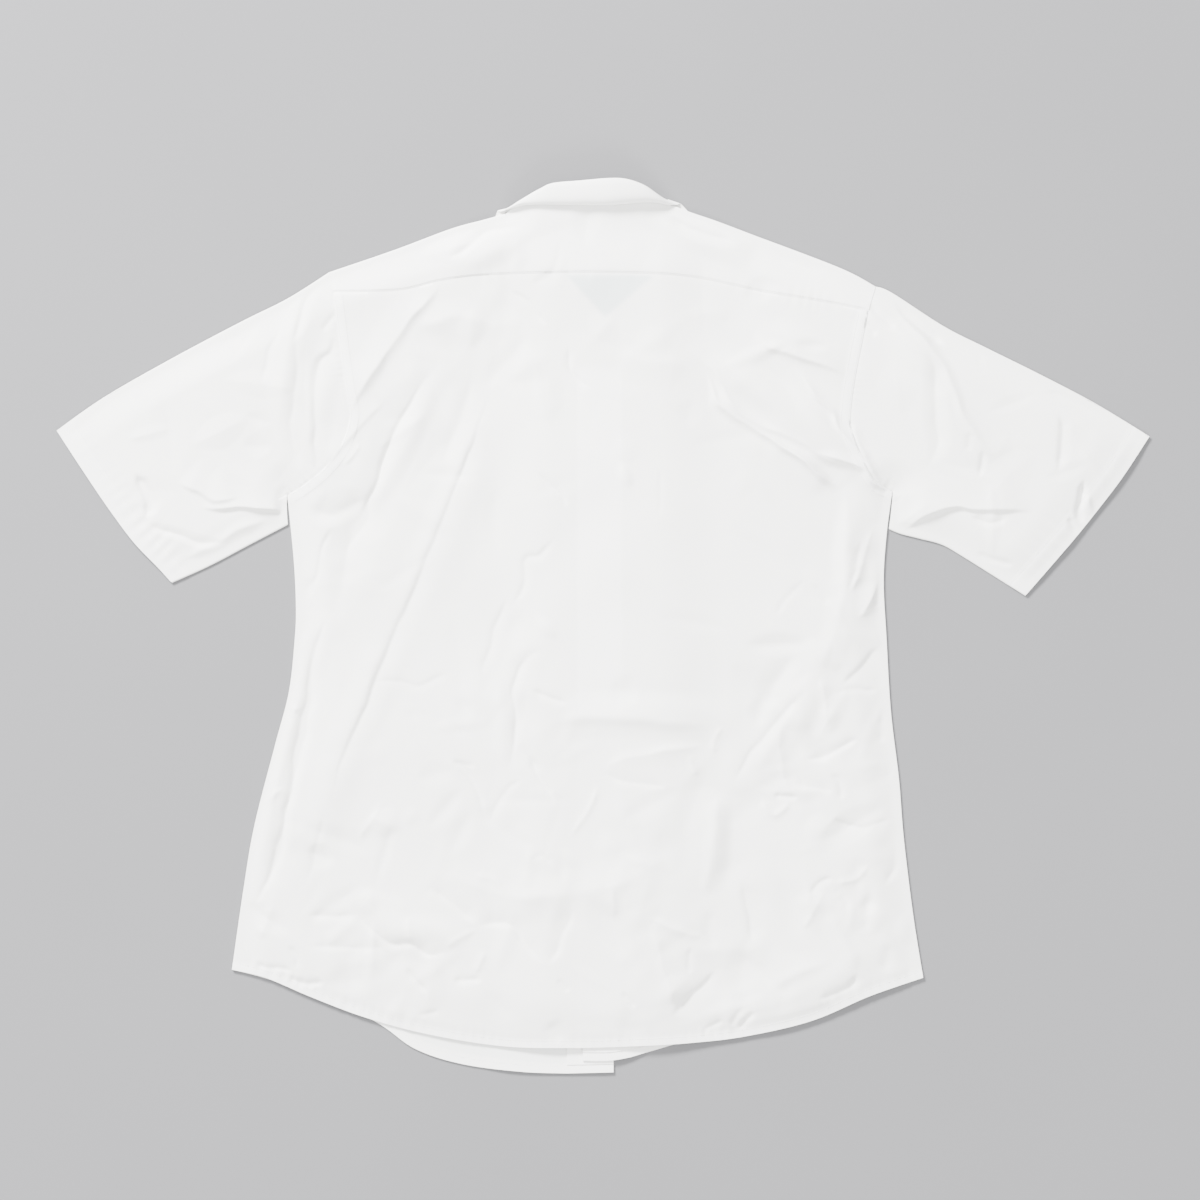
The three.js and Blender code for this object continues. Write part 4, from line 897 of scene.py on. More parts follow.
# %% [markdown]
# ## Cotton
#
# The cloth is a plain weave, so fine that it only shows as a slight tooth, with slubs and a little unevenness
# in the white. One node group makes the weave for every cloth in the shirt. It reads the grain UV map, so
# the threads turn with each sleeve. White cotton is never pure white: the base is about 0.8 in linear light.

# %% Node helpers
def feed(tree, node, inputs):
    """Sets inputs of a node, by name or number. A value that is another node's output is linked."""
    for name, value in inputs.items():
        if isinstance(value, bpy.types.NodeSocket):
            tree.links.new(value, node.inputs[name])
        else:
            node.inputs[name].default_value = value


def add_node(tree, kind, place, inputs=None, **values):
    node = tree.nodes.new(kind)
    node.location = place
    for name, value in values.items():
        setattr(node, name, value)
    feed(tree, node, inputs or {})
    return node


def math_node(tree, operation, place, *terms):
    return add_node(tree, "ShaderNodeMath", place, dict(enumerate(terms)), operation=operation).outputs[0]


def colour_mix(tree, place, factor, low, high):
    """Mix of two colours, each given as a value or as another mix."""
    a, b = ((*value, 1) if isinstance(value, (tuple, list)) else value for value in (low, high))
    node = add_node(tree, "ShaderNodeMix", place, data_type="RGBA", clamp_factor=True)
    feed(tree, node, {"A": a, "B": b, "Factor": factor})
    return node.outputs["Result"]


def new_material(name):
    """A material, its node tree and its shader."""
    material = bpy.data.materials.new(name)
    material.use_nodes = True
    return material, material.node_tree, material.node_tree.nodes["Principled BSDF"]


def clouded(name, scale, low, high, roughness, distortion=0.0, coat=0.0):
    """A material whose colour drifts between two values, in patches that the scale sets."""
    material, tree, shader = new_material(name)
    place = add_node(tree, "ShaderNodeTexCoord", (-900, 0)).outputs["Object"]
    clouds = add_node(tree, "ShaderNodeTexNoise", (-700, 0),
                      {"Vector": place, "Scale": scale, "Distortion": distortion})
    feed(tree, shader, {"Base Color": colour_mix(tree, (-450, 0), clouds.outputs["Fac"], low, high),
                        "Roughness": roughness, "Coat Weight": coat})
    return material


# %% Weave group
def weave_group():
    """Height, mottle and roughness of a plain weave."""
    group = bpy.data.node_groups.new("plain weave", "ShaderNodeTree")
    for name, default in (("Threads per metre", 1500.0), ("Tooth", 0.12), ("Slub", 0.5)):
        socket = group.interface.new_socket(name, in_out="INPUT", socket_type="NodeSocketFloat")
        socket.default_value = default
    for name in ("Height", "Mottle", "Roughness"):
        group.interface.new_socket(name, in_out="OUTPUT", socket_type="NodeSocketFloat")
    start = add_node(group, "NodeGroupInput", (-1100, 0))
    grain = add_node(group, "ShaderNodeUVMap", (-1100, 300), uv_map="grain").outputs["UV"]
    split = add_node(group, "ShaderNodeSeparateXYZ", (-900, 300), {0: grain})
    turns = math_node(group, "MULTIPLY", (-900, 100), start.outputs["Threads per metre"], math.pi)
    warp, weft = (math_node(group, "SINE", (-520, y),
                            math_node(group, "MULTIPLY", (-700, y), split.outputs[axis], turns))
                  for axis, y in (("X", 300), ("Y", 150)))
    over_under = math_node(group, "MULTIPLY", (-340, 230), warp, weft)
    tooth = math_node(group, "MULTIPLY", (-160, 230), over_under, start.outputs["Tooth"])
    stretched = add_node(group, "ShaderNodeMapping", (-720, -60),
                         {"Vector": grain, "Scale": (1.0, 0.12, 1.0)})
    slubs = add_node(group, "ShaderNodeTexNoise", (-520, -60),
                     {"Vector": stretched.outputs[0], "Scale": 420.0, "Detail": 3.0}).outputs["Fac"]
    slub = math_node(group, "MULTIPLY", (-160, -60), slubs, start.outputs["Slub"])
    mottle = add_node(group, "ShaderNodeTexNoise", (-520, -320),
                      {"Vector": grain, "Scale": 9.0, "Detail": 5.0})
    rough = add_node(group, "ShaderNodeMapRange", (100, -320),
                     {"Value": slubs, "To Min": 0.82, "To Max": 0.95})
    height = math_node(group, "ADD", (40, 120), tooth, slub)
    add_node(group, "NodeGroupOutput", (700, 0),
             {"Height": height, "Mottle": mottle.outputs["Fac"], "Roughness": rough.outputs[0]})
    return group


WEAVE = weave_group()


# %% Cloth materials
MOTTLE = 0.985  # the darker end of the cloth's own unevenness


def cotton(name, plain, shaded, pale):
    """White cotton: plain colour, the colour of painted shade under the neck and on the fronts, and where it
    is doubled.
    """
    material, tree, shader = new_material(name)
    weave = add_node(tree, "ShaderNodeGroup", (-900, 0), node_tree=WEAVE).outputs
    tone = add_node(tree, "ShaderNodeAttribute", (-1100, 400), attribute_name="tone").outputs["Fac"]
    darker = math_node(tree, "MULTIPLY", (-880, 480), tone, -1.0)
    mottled = colour_mix(tree, (-640, 200), weave["Mottle"], [c * MOTTLE for c in plain], plain)
    # painted shade: a negative tone darkens the cloth towards the shaded colour
    with_painted_shade = colour_mix(tree, (-440, 260), darker, mottled, shaded)
    relief = add_node(tree, "ShaderNodeBump", (-240, -120),
                      {"Strength": 0.35, "Distance": 0.0002, "Height": weave["Height"]})
    feed(tree, shader, {"Base Color": colour_mix(tree, (-240, 260), tone, with_painted_shade, pale),
                        "Roughness": weave["Roughness"], "Normal": relief.outputs["Normal"],
                        "Sheen Weight": 0.12, "Specular IOR Level": 0.25})
    return material


# the middle colour of each cotton is the painted shade
COTTON = cotton("white cotton", (0.82, 0.817, 0.795), (0.60, 0.65, 0.65), (0.875, 0.872, 0.855))
DOUBLED_COTTON = cotton("doubled white cotton", (0.85, 0.847, 0.828), (0.64, 0.69, 0.69),
                        (0.865, 0.862, 0.845))


def dress(piece, node, material):
    """Gives a piece its finish, hangs it from the root and hides the solid that it stands for."""
    piece.data.materials.append(material)
    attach(piece, "root")
    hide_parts(node)


# %% [markdown]
# ## The back
#
# One panel from the yoke seam to the hem. It is the piece that shows most, and its grid is split finer near
# the narrow creases.

# %% Back panel
BACK_PITCH = 2.7
COLUMN_PITCH = 0.87 * BACK_PITCH
SPLIT_REACH = 4.2  # cells this near to a narrow crease are split


def spaced(line, pitch):
    """Evenly spaced points of a line, with an even number of cells between them."""
    return at_shares(line, even(max(2, 2 * round(lengths(line)[-1] / pitch / 2))))


def body_edge(side, scoop, pitch):
    """The armhole and the side seam below it, as evenly spaced points."""
    line = np.vstack([armhole_line(side, SEAM_GAP, scoop, 100), smooth_line(SIDE_SEAM[side])[1:]])
    return spaced(line, pitch)


def matched(line, count):
    return at_shares(line, even(count - 1))


left_edge, right_edge = (body_edge(side, 0, BACK_PITCH) for side in SIDES)
right_edge = matched(right_edge, len(left_edge))
top_edge = spaced(smooth_line(YOKE_SEAM) - [0, SEAM_GAP], COLUMN_PITCH)
left_edge[0], right_edge[0] = top_edge[0], top_edge[-1]
hem_edge = matched(smooth_line(BACK_HEM), len(top_edge))
back_grid = patch(top_edge, hem_edge, left_edge, right_edge)


def back_under(x, y):
    """Underside of the back, with its hem and seams."""
    finish = band(HEM_LINE, x, y, HEM, HEM_STITCH, thick=0.6, pucker=0.34, every=9.5, seed=51)
    finish += yoke_seam(x, y)
    for side in SIDES:
        finish += armhole_seam(side, x, y)
    return upper_under(x, y) + finish


def near_creases(x, y):
    """Which places lie near a crease with a narrow flank."""
    wx, wy = wandered(x, y)
    found = np.zeros(x.shape, bool)
    for left, right, _, line in CREASE_LINES:
        near = close_to(line, x, y, SPLIT_REACH + 2)
        if min(left, right) < NARROW and near.any():
            found[near] |= nearest(line, wx[near], wy[near])[0] < SPLIT_REACH
    return found


centres = (back_grid[:-1, :-1] + back_grid[1:, 1:]) / 2
marked = near_creases(centres[..., 0], centres[..., 1])
marked[[0, 1, -2, -1]] = marked[:, [0, 1, -2, -1]] = False
back = lined_sheet("shirt_back", back_grid, marked, back_under, back_tone)
dress(back, "back", COTTON)

# %% [markdown]
# ## The yoke
#
# A doubled panel over the shoulders. It runs from the back seam over each shoulder to the front, so near the
# arms it is turned under. Its rows go under strip, roll, upper face, and at the neck there is only the upper
# face.

# %% Yoke
YOKE_PITCH = 2.3
YOKE_STEP = 0.5    # the doubled yoke stands this much above the back at their seam
NECK_INSET = 0.15  # from the neck's edge to the first row of the yoke's face
FACE_ROWS, STRIP_ROWS = 32, 6
ROLL = ((0.35, -0.75), (0.0, 0.0), (0.35, 0.75))  # share inward and share of half the height, round a fold


def rolled(edge, inset, low, high):
    """The rolled edge of a fold: three lines of points, from the layer below round to the one above."""
    middle = (low + high) / 2
    return [np.column_stack([edge * (1 - s) + inset * s, middle + c * (high - middle)]) for s, c in ROLL]


def shoulder_columns():
    """Top edge of the yoke, with the cells that lie on a shoulder."""
    parts, on_shoulder = [], []
    for line, shoulder in ((SHOULDER["left"], True), (BACK_NECK, False), (SHOULDER["right"], True)):
        points = spaced(smooth_line(line), YOKE_PITCH)
        parts.append(points if not parts else points[1:])
        on_shoulder += [shoulder] * (len(points) - 1)
    return np.vstack(parts), np.array(on_shoulder)


yoke_top, shoulder_cell = shoulder_columns()
yoke_count = len(yoke_top)
yoke_bottom = at_shares(smooth_line(YOKE_SEAM) + [0, SEAM_GAP], shares_of(yoke_top))
on_fold = np.concatenate([shoulder_cell[:1], shoulder_cell[1:] | shoulder_cell[:-1], shoulder_cell[-1:]])


def front_strip():
    """Where each shoulder column ends on the front."""
    ends = yoke_bottom.copy()
    neck_start, neck_end = np.flatnonzero(~shoulder_cell)[[0, -1]] + [0, 1]
    for side, part in (("left", slice(None, neck_start + 1)), ("right", slice(neck_end, None))):
        ends[part] = at_shares(smooth_line(FRONT_YOKE_SEAM[side]), shares_of(yoke_top[part]))
    return ends + [0, STRIP_GAP]


def toward(start, end, distance):
    """Points a given distance from start, on the way to end."""
    span = end - start
    return start + span * (np.asarray(distance) / np.linalg.norm(span, axis=1))[:, None]


strip_end = front_strip()
face_start = toward(yoke_top, yoke_bottom, np.where(on_fold, EDGE_TURN, NECK_INSET))
strip_start = toward(yoke_top, strip_end, np.full(yoke_count, EDGE_TURN))
face_rows = np.array([face_start * (1 - t) + yoke_bottom * t for t in even(FACE_ROWS)])
strip_rows = np.array([strip_end * (1 - t) + strip_start * t for t in even(STRIP_ROWS)])


def yoke_finish(x, y):
    """Extra height of the yoke beside its seam."""
    stand_off = YOKE_STEP * step((nearest(YOKE_LINE, x, y)[0] - 0.6) / 1.2)
    return yoke_seam(x, y) + stand_off


def yoke_under(x, y):
    return upper_under(x, y) + yoke_finish(x, y)


face_under = yoke_under(face_rows[..., 0], face_rows[..., 1])
strip_under = leaf_lift(strip_rows[..., 0], strip_rows[..., 1])
roll_low, roll_high = strip_under[-1], face_under[0] + CLOTH
roll = rolled(yoke_top, np.where(on_fold[:, None], strip_start, yoke_top), roll_low, roll_high)
roll_middle = (roll_low + roll_high) / 2
inner_plan = yoke_top * 0.35 + face_start * 0.65
inner_half = np.maximum(roll_high - roll_middle - CLOTH, 0.05)
inner_roll = [np.column_stack([inner_plan, roll_middle + c * inner_half]) for c in (-0.6, 0.0, 0.6)]
outer = np.concatenate([raised(strip_rows, strip_under), roll, raised(face_rows, face_under + CLOTH)])
inner = np.concatenate([raised(strip_rows, strip_under + CLOTH), inner_roll, raised(face_rows, face_under)])
kept = np.ones((len(outer) - 1, yoke_count - 1), bool)
kept[:STRIP_ROWS + len(ROLL) + 1] = shoulder_cell[None]
yoke = closed_sheet("shirt_yoke", outer, inner, kept=kept, tone=np.full(outer.shape[:2], 0.25))
dress(yoke, "yoke", DOUBLED_COTTON)

# %% [markdown]
# ## Fronts and facings
#
# The fronts lie on the floor with only their hems showing below the back. Each has its edge turned in to make
# the button border, a facing that lies one layer up. The facings stop above the hem, which turns over them.

# %% Fronts and facings
FRONT_PITCH = 5.0
FACING_CELLS = 12
FACING_SHORT = 0.4  # a facing ends this far above the hem
SCOOP = 6           # the armhole is cut this much deeper in front


def front_grid(side):
    """Rows of plan points from the side seam to the free edge, and the column where the facing starts."""
    edge = body_edge(side, SCOOP, FRONT_PITCH)
    seam_points = smooth_line(FRONT_YOKE_SEAM[side]) - [0, STRIP_GAP]
    seam_points = seam_points if side == "left" else seam_points[::-1]
    neckline = smooth_line(NECKLINE[side])
    top = spaced(np.vstack([seam_points, neckline[1:]]), FRONT_PITCH)
    corner = np.argmin(np.linalg.norm(top - neckline[0], axis=1))
    top[corner] = neckline[0]
    edge[0] = top[0]
    facing_line = top[-1] + shares_of(edge)[:, None] * (np.array(CENTRE_HEM[side][0]) - top[-1])
    field = patch(top, matched(smooth_line(FRONT_HEM[side]), len(top)), edge, facing_line)
    strip_top = at_shares(smooth_line(CENTRE_NECK[side]), even(FACING_CELLS))
    strip_foot = at_shares(smooth_line(CENTRE_HEM[side]), even(FACING_CELLS))
    down = shares_of(facing_line)[:, None, None]
    strip = strip_top[None] * (1 - down) + strip_foot[None] * down
    return np.concatenate([field, strip[:, 1:]], axis=1), field.shape[1] - 1


FRONT_HEM_LINE = {side: np.vstack([smooth_line(FRONT_HEM[side], 8), smooth_line(CENTRE_HEM[side], 8)[1:]])
                  for side in SIDES}


def front_low(side, x, y):
    """Underside of a front, with its small crumples and the waves near its hem."""
    crumples = 0.35 * np.maximum(noise(x, y, 26, 61) * noise(x, y, 90, 62), 0)
    near_hem = step(1 - nearest(FRONT_HEM_LINE[side], x, y)[0] / 25)
    waves = 1.1 * near_hem * np.maximum(noise(x, y, 42, 64 + (side == "left")), 0)
    return front_under(side, x, y) + crumples + waves


def front_hem_rise(side, x, y):
    """Extra height of the turned hem along a front, with its stitch groove."""
    line = FRONT_HEM_LINE[side]
    turned_edge = 0.5 * step((HEM + TURN_SLOPE / 2 - nearest(line, x, y)[0]) / TURN_SLOPE)
    stitched = band(line, x, y, HEM, HEM_STITCH, thick=0.0, pucker=0.12, every=10, seed=63)
    return turned_edge + np.minimum(stitched, 0)


for side in SIDES:
    grid, first = front_grid(side)
    gx, gy = grid[..., 0], grid[..., 1]
    low = front_low(side, gx, gy)
    high = low + CLOTH + front_hem_rise(side, gx, gy)
    # painted shade: each front goes a quarter of the way to the shaded colour, for lying in the shade under
    # the back, while its doubled hem is pale
    tone = -0.25 + 0.75 * step((HEM - nearest(FRONT_HEM_LINE[side], gx, gy)[0]) / 1.5)
    front = closed_sheet(f"shirt_front_{side}", raised(grid, low), raised(grid, high), tone=tone)
    dress(front, f"front_{side}", COTTON)
    strip = grid[:, first:].copy()
    strip[-1, :, 1] += HEM + FACING_SHORT
    strip[-2, :, 1] = np.maximum(strip[-2, :, 1], strip[-1, :, 1] + 1.5)
    strip_low = front_low(side, strip[..., 0], strip[..., 1]) + PITCH
    facing = closed_sheet(f"shirt_facing_{side}", raised(strip, strip_low), raised(strip, strip_low + CLOTH),
                          tone=np.full(strip.shape[:2], 0.5))
    dress(facing, f"facing_{side}", DOUBLED_COTTON)

# %% [markdown]
# ## Sleeves
#
# Each sleeve is a short tube pressed flat. Round it run the top fold, the upper layer with its creases, the
# fold under the arm, and the lower layer on the floor. The cuff end stays open, so from the side two layers
# show. The flap of spare cloth under the arm is two sharp-edged creases in the table.

# %% Sleeves
SLEEVE_PITCH = 1.7
LOWER_CELLS = 24
CUFF_EASE = 1.6  # above 1, the columns at the cuff are closer near its top fold
PINCH = 0.06     # the two layers' inner faces nearly meet inside the folds
GRAIN_TURN = {"left": 28, "right": -28}


def sleeve_lines(side):
    """Borders of the sleeve in plan: armhole end for the upper and lower layer, top fold, and underarm."""
    column = 0 if side == "left" else -1
    across = np.array([OUTWARD[side] * 2 * SEAM_GAP, 0])
    yoke_end = face_rows[:, column] + across
    pit = smooth_line(PIT[side])[1:]
    upper_line = np.vstack([yoke_end, armhole_line(side, -SEAM_GAP)[1:], pit])
    lower_line = np.vstack([yoke_end[:1], strip_end[column:column + 1 or None] + across,
                            armhole_line(side, -SEAM_GAP, SCOOP)[1:], pit])
    return upper_line, lower_line


def sleeve_under(side, x, y):
    """Underside of a sleeve's upper layer, with its cuff hem and armhole seam."""
    line = CUFF_LINE[side]
    rise = upper_under(x, y)
    rise += band(line, x, y, CUFF_HEM, CUFF_STITCH, thick=0.4, pucker=0.22, every=12, seed=71)
    rise += 0.12 * np.exp(-((nearest(line, x, y)[0] - 3) / 2)**2)
    return rise + armhole_seam(side, x, y)


def sleeve_layer(side, start, top, under_edge):
    cuff = at_shares(smooth_line(CUFF[side]), shares_of(start)**CUFF_EASE)
    start, cuff = start.copy(), cuff.copy()
    start[0], start[-1], cuff[0], cuff[-1] = top[0], under_edge[0], top[-1], under_edge[-1]
    return patch(start, cuff, top, under_edge)


def sleeve_folds(edge, inset, high):
    """Columns of outer and inner points round one of the sleeve's folds, from the lower layer upwards."""
    middle = (high + CLOTH) / 2
    plan = edge * 0.3 + inset * 0.7
    outer_fold = np.stack(rolled(edge, inset, 0, high + CLOTH), axis=1)
    inner_fold = np.stack([np.column_stack([plan, middle + c * PINCH]) for c in (-1, 0, 1)], axis=1)
    return outer_fold, inner_fold


for side in SIDES:
    upper_line, lower_line = sleeve_lines(side)
    top_edge = spaced(smooth_line(SLEEVE_TOP[side]), SLEEVE_PITCH)
    low_edge = matched(smooth_line(UNDERARM[side]), len(top_edge))
    top_inset = moved_left(top_edge, -OUTWARD[side] * EDGE_TURN)
    low_inset = moved_left(low_edge, OUTWARD[side] * EDGE_TURN)
    top_inset[0], low_inset[0] = upper_line[0], upper_line[-1] + [0, EDGE_TURN]
    over = sleeve_layer(side, spaced(upper_line, SLEEVE_PITCH), top_inset, low_inset)
    below = sleeve_layer(side, at_shares(lower_line, even(LOWER_CELLS)), top_inset, low_inset)[:, ::-1]
    ox, oy = over[..., 0], over[..., 1]
    rise = sleeve_under(side, ox, oy)
    on_floor = np.zeros(below.shape[:2])
    top_roll, top_inside = sleeve_folds(top_edge, top_inset, rise[:, 0])
    low_roll, low_inside = sleeve_folds(low_edge, low_inset, rise[:, -1])
    outer = np.concatenate([top_roll, raised(over, rise + CLOTH), low_roll[:, ::-1],
                            raised(below, on_floor)], axis=1)
    inner = np.concatenate([top_inside, raised(over, rise), low_inside[:, ::-1],
                            raised(below, on_floor + CLOTH)], axis=1)
    tones = np.zeros(outer.shape[:2])
    cuff_away = nearest(CUFF_LINE[side], ox, oy)[0]
    tones[:, len(ROLL):len(ROLL) + over.shape[1]] = 0.45 * step((CUFF_HEM - cuff_away) / 1.5)
    sleeve = closed_sheet(f"shirt_sleeve_{side}", outer, inner, ring=True, tone=tones, grain=GRAIN_TURN[side])
    dress(sleeve, f"sleeve_{side}", COTTON)

# %% [markdown]
# ## Collar
#
# The collar is two bands. The stand is sewn round the neck, and the fall is folded over it. In front both lie
# flat under the shirt. At the back they stand up, and the fall drops from the fold to cover the seam. A
# section across it, taken at many places round the neck, gives the surface.

# %% Collar sections
COLLAR = [  # fold x, y, z, then free edge x, y, z
    (-7, 292, ON_FLOOR, -44, 238, ON_FLOOR), (-20, 309, ON_FLOOR, -66, 270, ON_FLOOR),
    (-36, 328, ON_FLOOR, -84, 300, ON_FLOOR), (-60, 354, ON_FLOOR, -100, 327, ON_FLOOR),
    (-78, 374, ON_FLOOR, -106, 354, ON_FLOOR), (-89, 387.5, ON_FLOOR, -99, 384.5, ON_FLOOR),
    (-87, 389, 6.5, -95, 386, 4), (-81, 393, 11.5, -87, 388.5, 7), (-71, 398.5, 15.5, -76, 391.5, 9),
    (-58, 405, 19, -60, 392.4, 12), (-46, 409.8, 21, -47, 392.2, 13), (-20, 412, 23, -21, 391.8, 14),
    (4, 414, 24, 3, 391.6, 14), (21, 413.5, 23.2, 22, 393, 14), (37, 408.5, 20.5, 39, 394.4, 13),
    (48, 402, 16.5, 51, 394, 11), (55, 398, 12, 60, 392.6, 8), (60, 396, 6.5, 68.5, 392.2, 4.5),
    (61.5, 395.5, ON_FLOOR, 75.5, 390.3, ON_FLOOR), (69, 374, ON_FLOOR, 103, 354, ON_FLOOR),
    (63, 352, ON_FLOOR, 100, 327, ON_FLOOR), (50, 329, ON_FLOOR, 88, 298, ON_FLOOR),
    (30, 307, ON_FLOOR, 72, 268, ON_FLOOR), (10, 292, ON_FLOOR, 46, 240, ON_FLOOR),
]
BACK_SECTIONS = slice(7, 17)  # the ones behind the neck, and those before and after are the leaves
LEFT_LEAF, RIGHT_LEAF = slice(None, 6), slice(18, None)
COLLAR_COLUMNS = 190
FALL_ROWS = 20
FALL_ROUND = 3.4  # 2 would make its section a quarter of an ellipse, and more makes it squarer
OVER_FOLD = ((1.3, -4.2), (1.2, -1.9), (0.8, -0.4))  # the section inside the fold: how far in, and up from it


def thickened(rows, thickness):
    """Outer and inner faces, half a thickness to each side of a sheet of points."""
    down, across = np.gradient(rows, axis=0), np.gradient(rows, axis=1)
    normal = np.cross(across, down)
    normal /= np.maximum(np.linalg.norm(normal, axis=2, keepdims=True), 1e-9)
    return rows + normal * thickness / 2, rows - normal * thickness / 2


sections = at_shares(smooth_line(COLLAR, 12), even(COLLAR_COLUMNS))
fold_line, free_line = sections[:, :3], sections[:, 3:]
fold_line[:, 2] = np.maximum(fold_line[:, 2], ON_FLOOR)
free_line[:, 2] = np.maximum(free_line[:, 2], ON_FLOOR)
on_yoke = step((fold_line[:, 2] - 6) / 8)
yoke_top_z = upper_under(free_line[:, 0], free_line[:, 1]) + YOKE_STEP + CLOTH
free_line[:, 2] += on_yoke * (yoke_top_z + DOUBLED / 2 + LAYER_GAP - free_line[:, 2])
print("free edge of the fall at", round(float(free_line[:, 2].max()), 1), "mm")
standing = step((fold_line[:, 2] - 0.6) / 18)[:, None]
outward = free_line - fold_line
outward[:, 2] = 0
outward /= np.linalg.norm(outward, axis=1, keepdims=True)
up = np.array([[0, 0, 1.0]])

fall_rows = []
for share in even(FALL_ROWS):
    turned_out, dropped = (f(np.pi / 2 * share)**(2 / FALL_ROUND) for f in (np.sin, np.cos))
    straight = fold_line * (1 - share) + free_line * share
    rounded = fold_line * (1 - turned_out) + free_line * turned_out
    rounded[:, 2] = free_line[:, 2] + (fold_line[:, 2] - free_line[:, 2]) * dropped
    fall_rows.append(straight + standing * (rounded - straight))
crest = [fold_line - standing * (outward * a) + standing * (up * b) for a, b in OVER_FOLD]
fall = closed_sheet("shirt_collar_fall", *thickened(np.array(crest + fall_rows), DOUBLED))
dress(fall, "collar_fall", DOUBLED_COTTON)


# %% Collar stand
LAP = {"left": (9.7, 281), "right": (-19, 280)}  # top of the stand's lapped ends
LEAF_COLUMNS, BACK_COLUMNS, STAND_ROWS = 44, 70, 8
NECK_SHARE = 0.07, 0.86   # where on the neck's seam the upright part starts, and how much of it it takes
UNDER_FOLD = 0, 0.4, 1.7  # the stand's top is this far inside the fold
STAND_CLEAR = 0.6         # and it stays this far from the seam and from the fold


def placed(points, under):
    """Points in plan, on cloth whose underside is given."""
    return np.column_stack([points, under(points[:, 0], points[:, 1]) + CLOTH / 2])


def leaf_run(side, rows):
    """Foot and top of the stand inside one collar leaf, from its lapped end."""
    feet = np.vstack([smooth_line(CENTRE_NECK[side])[::-1], smooth_line(NECKLINE[side])[::-1][1:],
                      [BACK_NECK[0 if side == "left" else -1]]])
    tops = smooth_line([LAP[side], *[row[:2] for row in rows]])
    return np.hstack([placed(at_shares(line, even(LEAF_COLUMNS)), lambda x, y: front_under(side, x, y))
                      for line in (feet, tops)])


neck_feet = at_shares(smooth_line(BACK_NECK), NECK_SHARE[0] + NECK_SHARE[1] * even(BACK_COLUMNS))
neck_fold = at_shares(smooth_line([row[:3] for row in COLLAR[BACK_SECTIONS]], 12), even(BACK_COLUMNS))
pairs = np.vstack([leaf_run("left", COLLAR[LEFT_LEAF]),
                   np.hstack([placed(neck_feet, upper_under), neck_fold - UNDER_FOLD]),
                   leaf_run("right", COLLAR[RIGHT_LEAF][::-1])[::-1]])
feet, tops = pairs[:, :3], pairs[:, 3:]
gap = np.linalg.norm(tops - feet, axis=1, keepdims=True)
stand_rows = [feet + (tops - feet) * (STAND_CLEAR + (gap - 2 * STAND_CLEAR) * share) / gap
              for share in even(STAND_ROWS)]
stand = closed_sheet("shirt_collar_stand", *thickened(np.array(stand_rows), CLOTH))
dress(stand, "collar_stand", DOUBLED_COTTON)

# %% [markdown]
# ## Stitches
#
# Lockstitch thread shows as short dashes that dip into the cloth at both ends. They run beside the yoke seam
# and the armholes, and along the hems and the cuffs. A stitch modelled from two small rings and two points
# catches the light where a bump map would not, and at sixteen triangles each there can be many.

# %% Thread
THREAD_WIDE, THREAD_HIGH, THREAD_LIFT = 0.24, 0.2, 0.1  # half width, half height, and height of its middle
THREAD_REACH = 0.38     # half length of the thread that shows, as a share of a stitch
THREAD_RINGS = 0.2, 0.8  # where along it the two rings are
STITCH_POINTS = 10
THREAD = clouded("white thread", 2400.0, (0.74, 0.74, 0.72), (0.86, 0.86, 0.84), roughness=0.5)


def dashes(line):
    """Points and faces of the stitches along a line of points in space."""
    total = lengths(line)[-1]
    count = int(total / STITCH)
    centre = (np.arange(count) + 0.5) / count
    reach = THREAD_REACH * STITCH / total
    start, end = at_shares(line, centre - reach), at_shares(line, centre + reach)
    ahead = end - start
    ahead /= np.linalg.norm(ahead, axis=1, keepdims=True)
    aside = np.column_stack([-ahead[:, 1], ahead[:, 0], 0 * ahead[:, 0]])
    aside /= np.linalg.norm(aside, axis=1, keepdims=True)
    over = np.cross(ahead, aside)
    offsets = THREAD_WIDE * aside, -THREAD_HIGH * over, -THREAD_WIDE * aside, THREAD_HIGH * over
    rings = [start * (1 - t) + end * t + THREAD_LIFT * over + offset
             for t in THREAD_RINGS for offset in offsets]
    points = np.stack([start - THREAD_LIFT * over, *rings, end - THREAD_LIFT * over], axis=1)
    faces = []
    for j in range(4):
        after = (j + 1) % 4
        faces += [[0, 1 + j, 1 + after], [1 + j, 5 + j, 5 + after, 1 + after], [9, 5 + after, 5 + j]]
    faces = [[STITCH_POINTS * k + corner for corner in face] for k in range(count) for face in faces]
    return points.reshape(-1, 3), faces


def sew(name, lines):
    """One piece of many stitches, with its faces pointing outwards."""
    points, faces = np.zeros((0, 3)), []
    for line in lines:
        more, theirs = dashes(line)
        faces += [[corner + len(points) for corner in face] for face in theirs]
        points = np.vstack([points, more])
    piece = new_piece(name, points * MM, faces)
    shape = bmesh.new()
    shape.from_mesh(piece.data)
    bmesh.ops.recalc_face_normals(shape, faces=shape.faces)
    shape.to_mesh(piece.data)
    shape.free()
    piece.data.materials.append(THREAD)
    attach(piece, "root")
    print(f"{name}: {len(points) // STITCH_POINTS} stitches")


# %% Rows of stitches
def on_cloth(line, ends, under_at):
    """A line in plan, cut short at both ends by the given length and laid on the cloth."""
    total = lengths(line)[-1]
    places = at_shares(line, np.linspace(ends / total, 1 - ends / total, int(total)))
    x, y = places[:, 0], places[:, 1]
    return np.column_stack([x, y, under_at(x, y) + CLOTH])


YOKE_STITCH = 2.2                           # from the yoke's seam to its stitches
ARMHOLE_STITCH = 1.6, SEAM_ALLOWANCE - 1.5  # and from an armhole's seam to its two rows

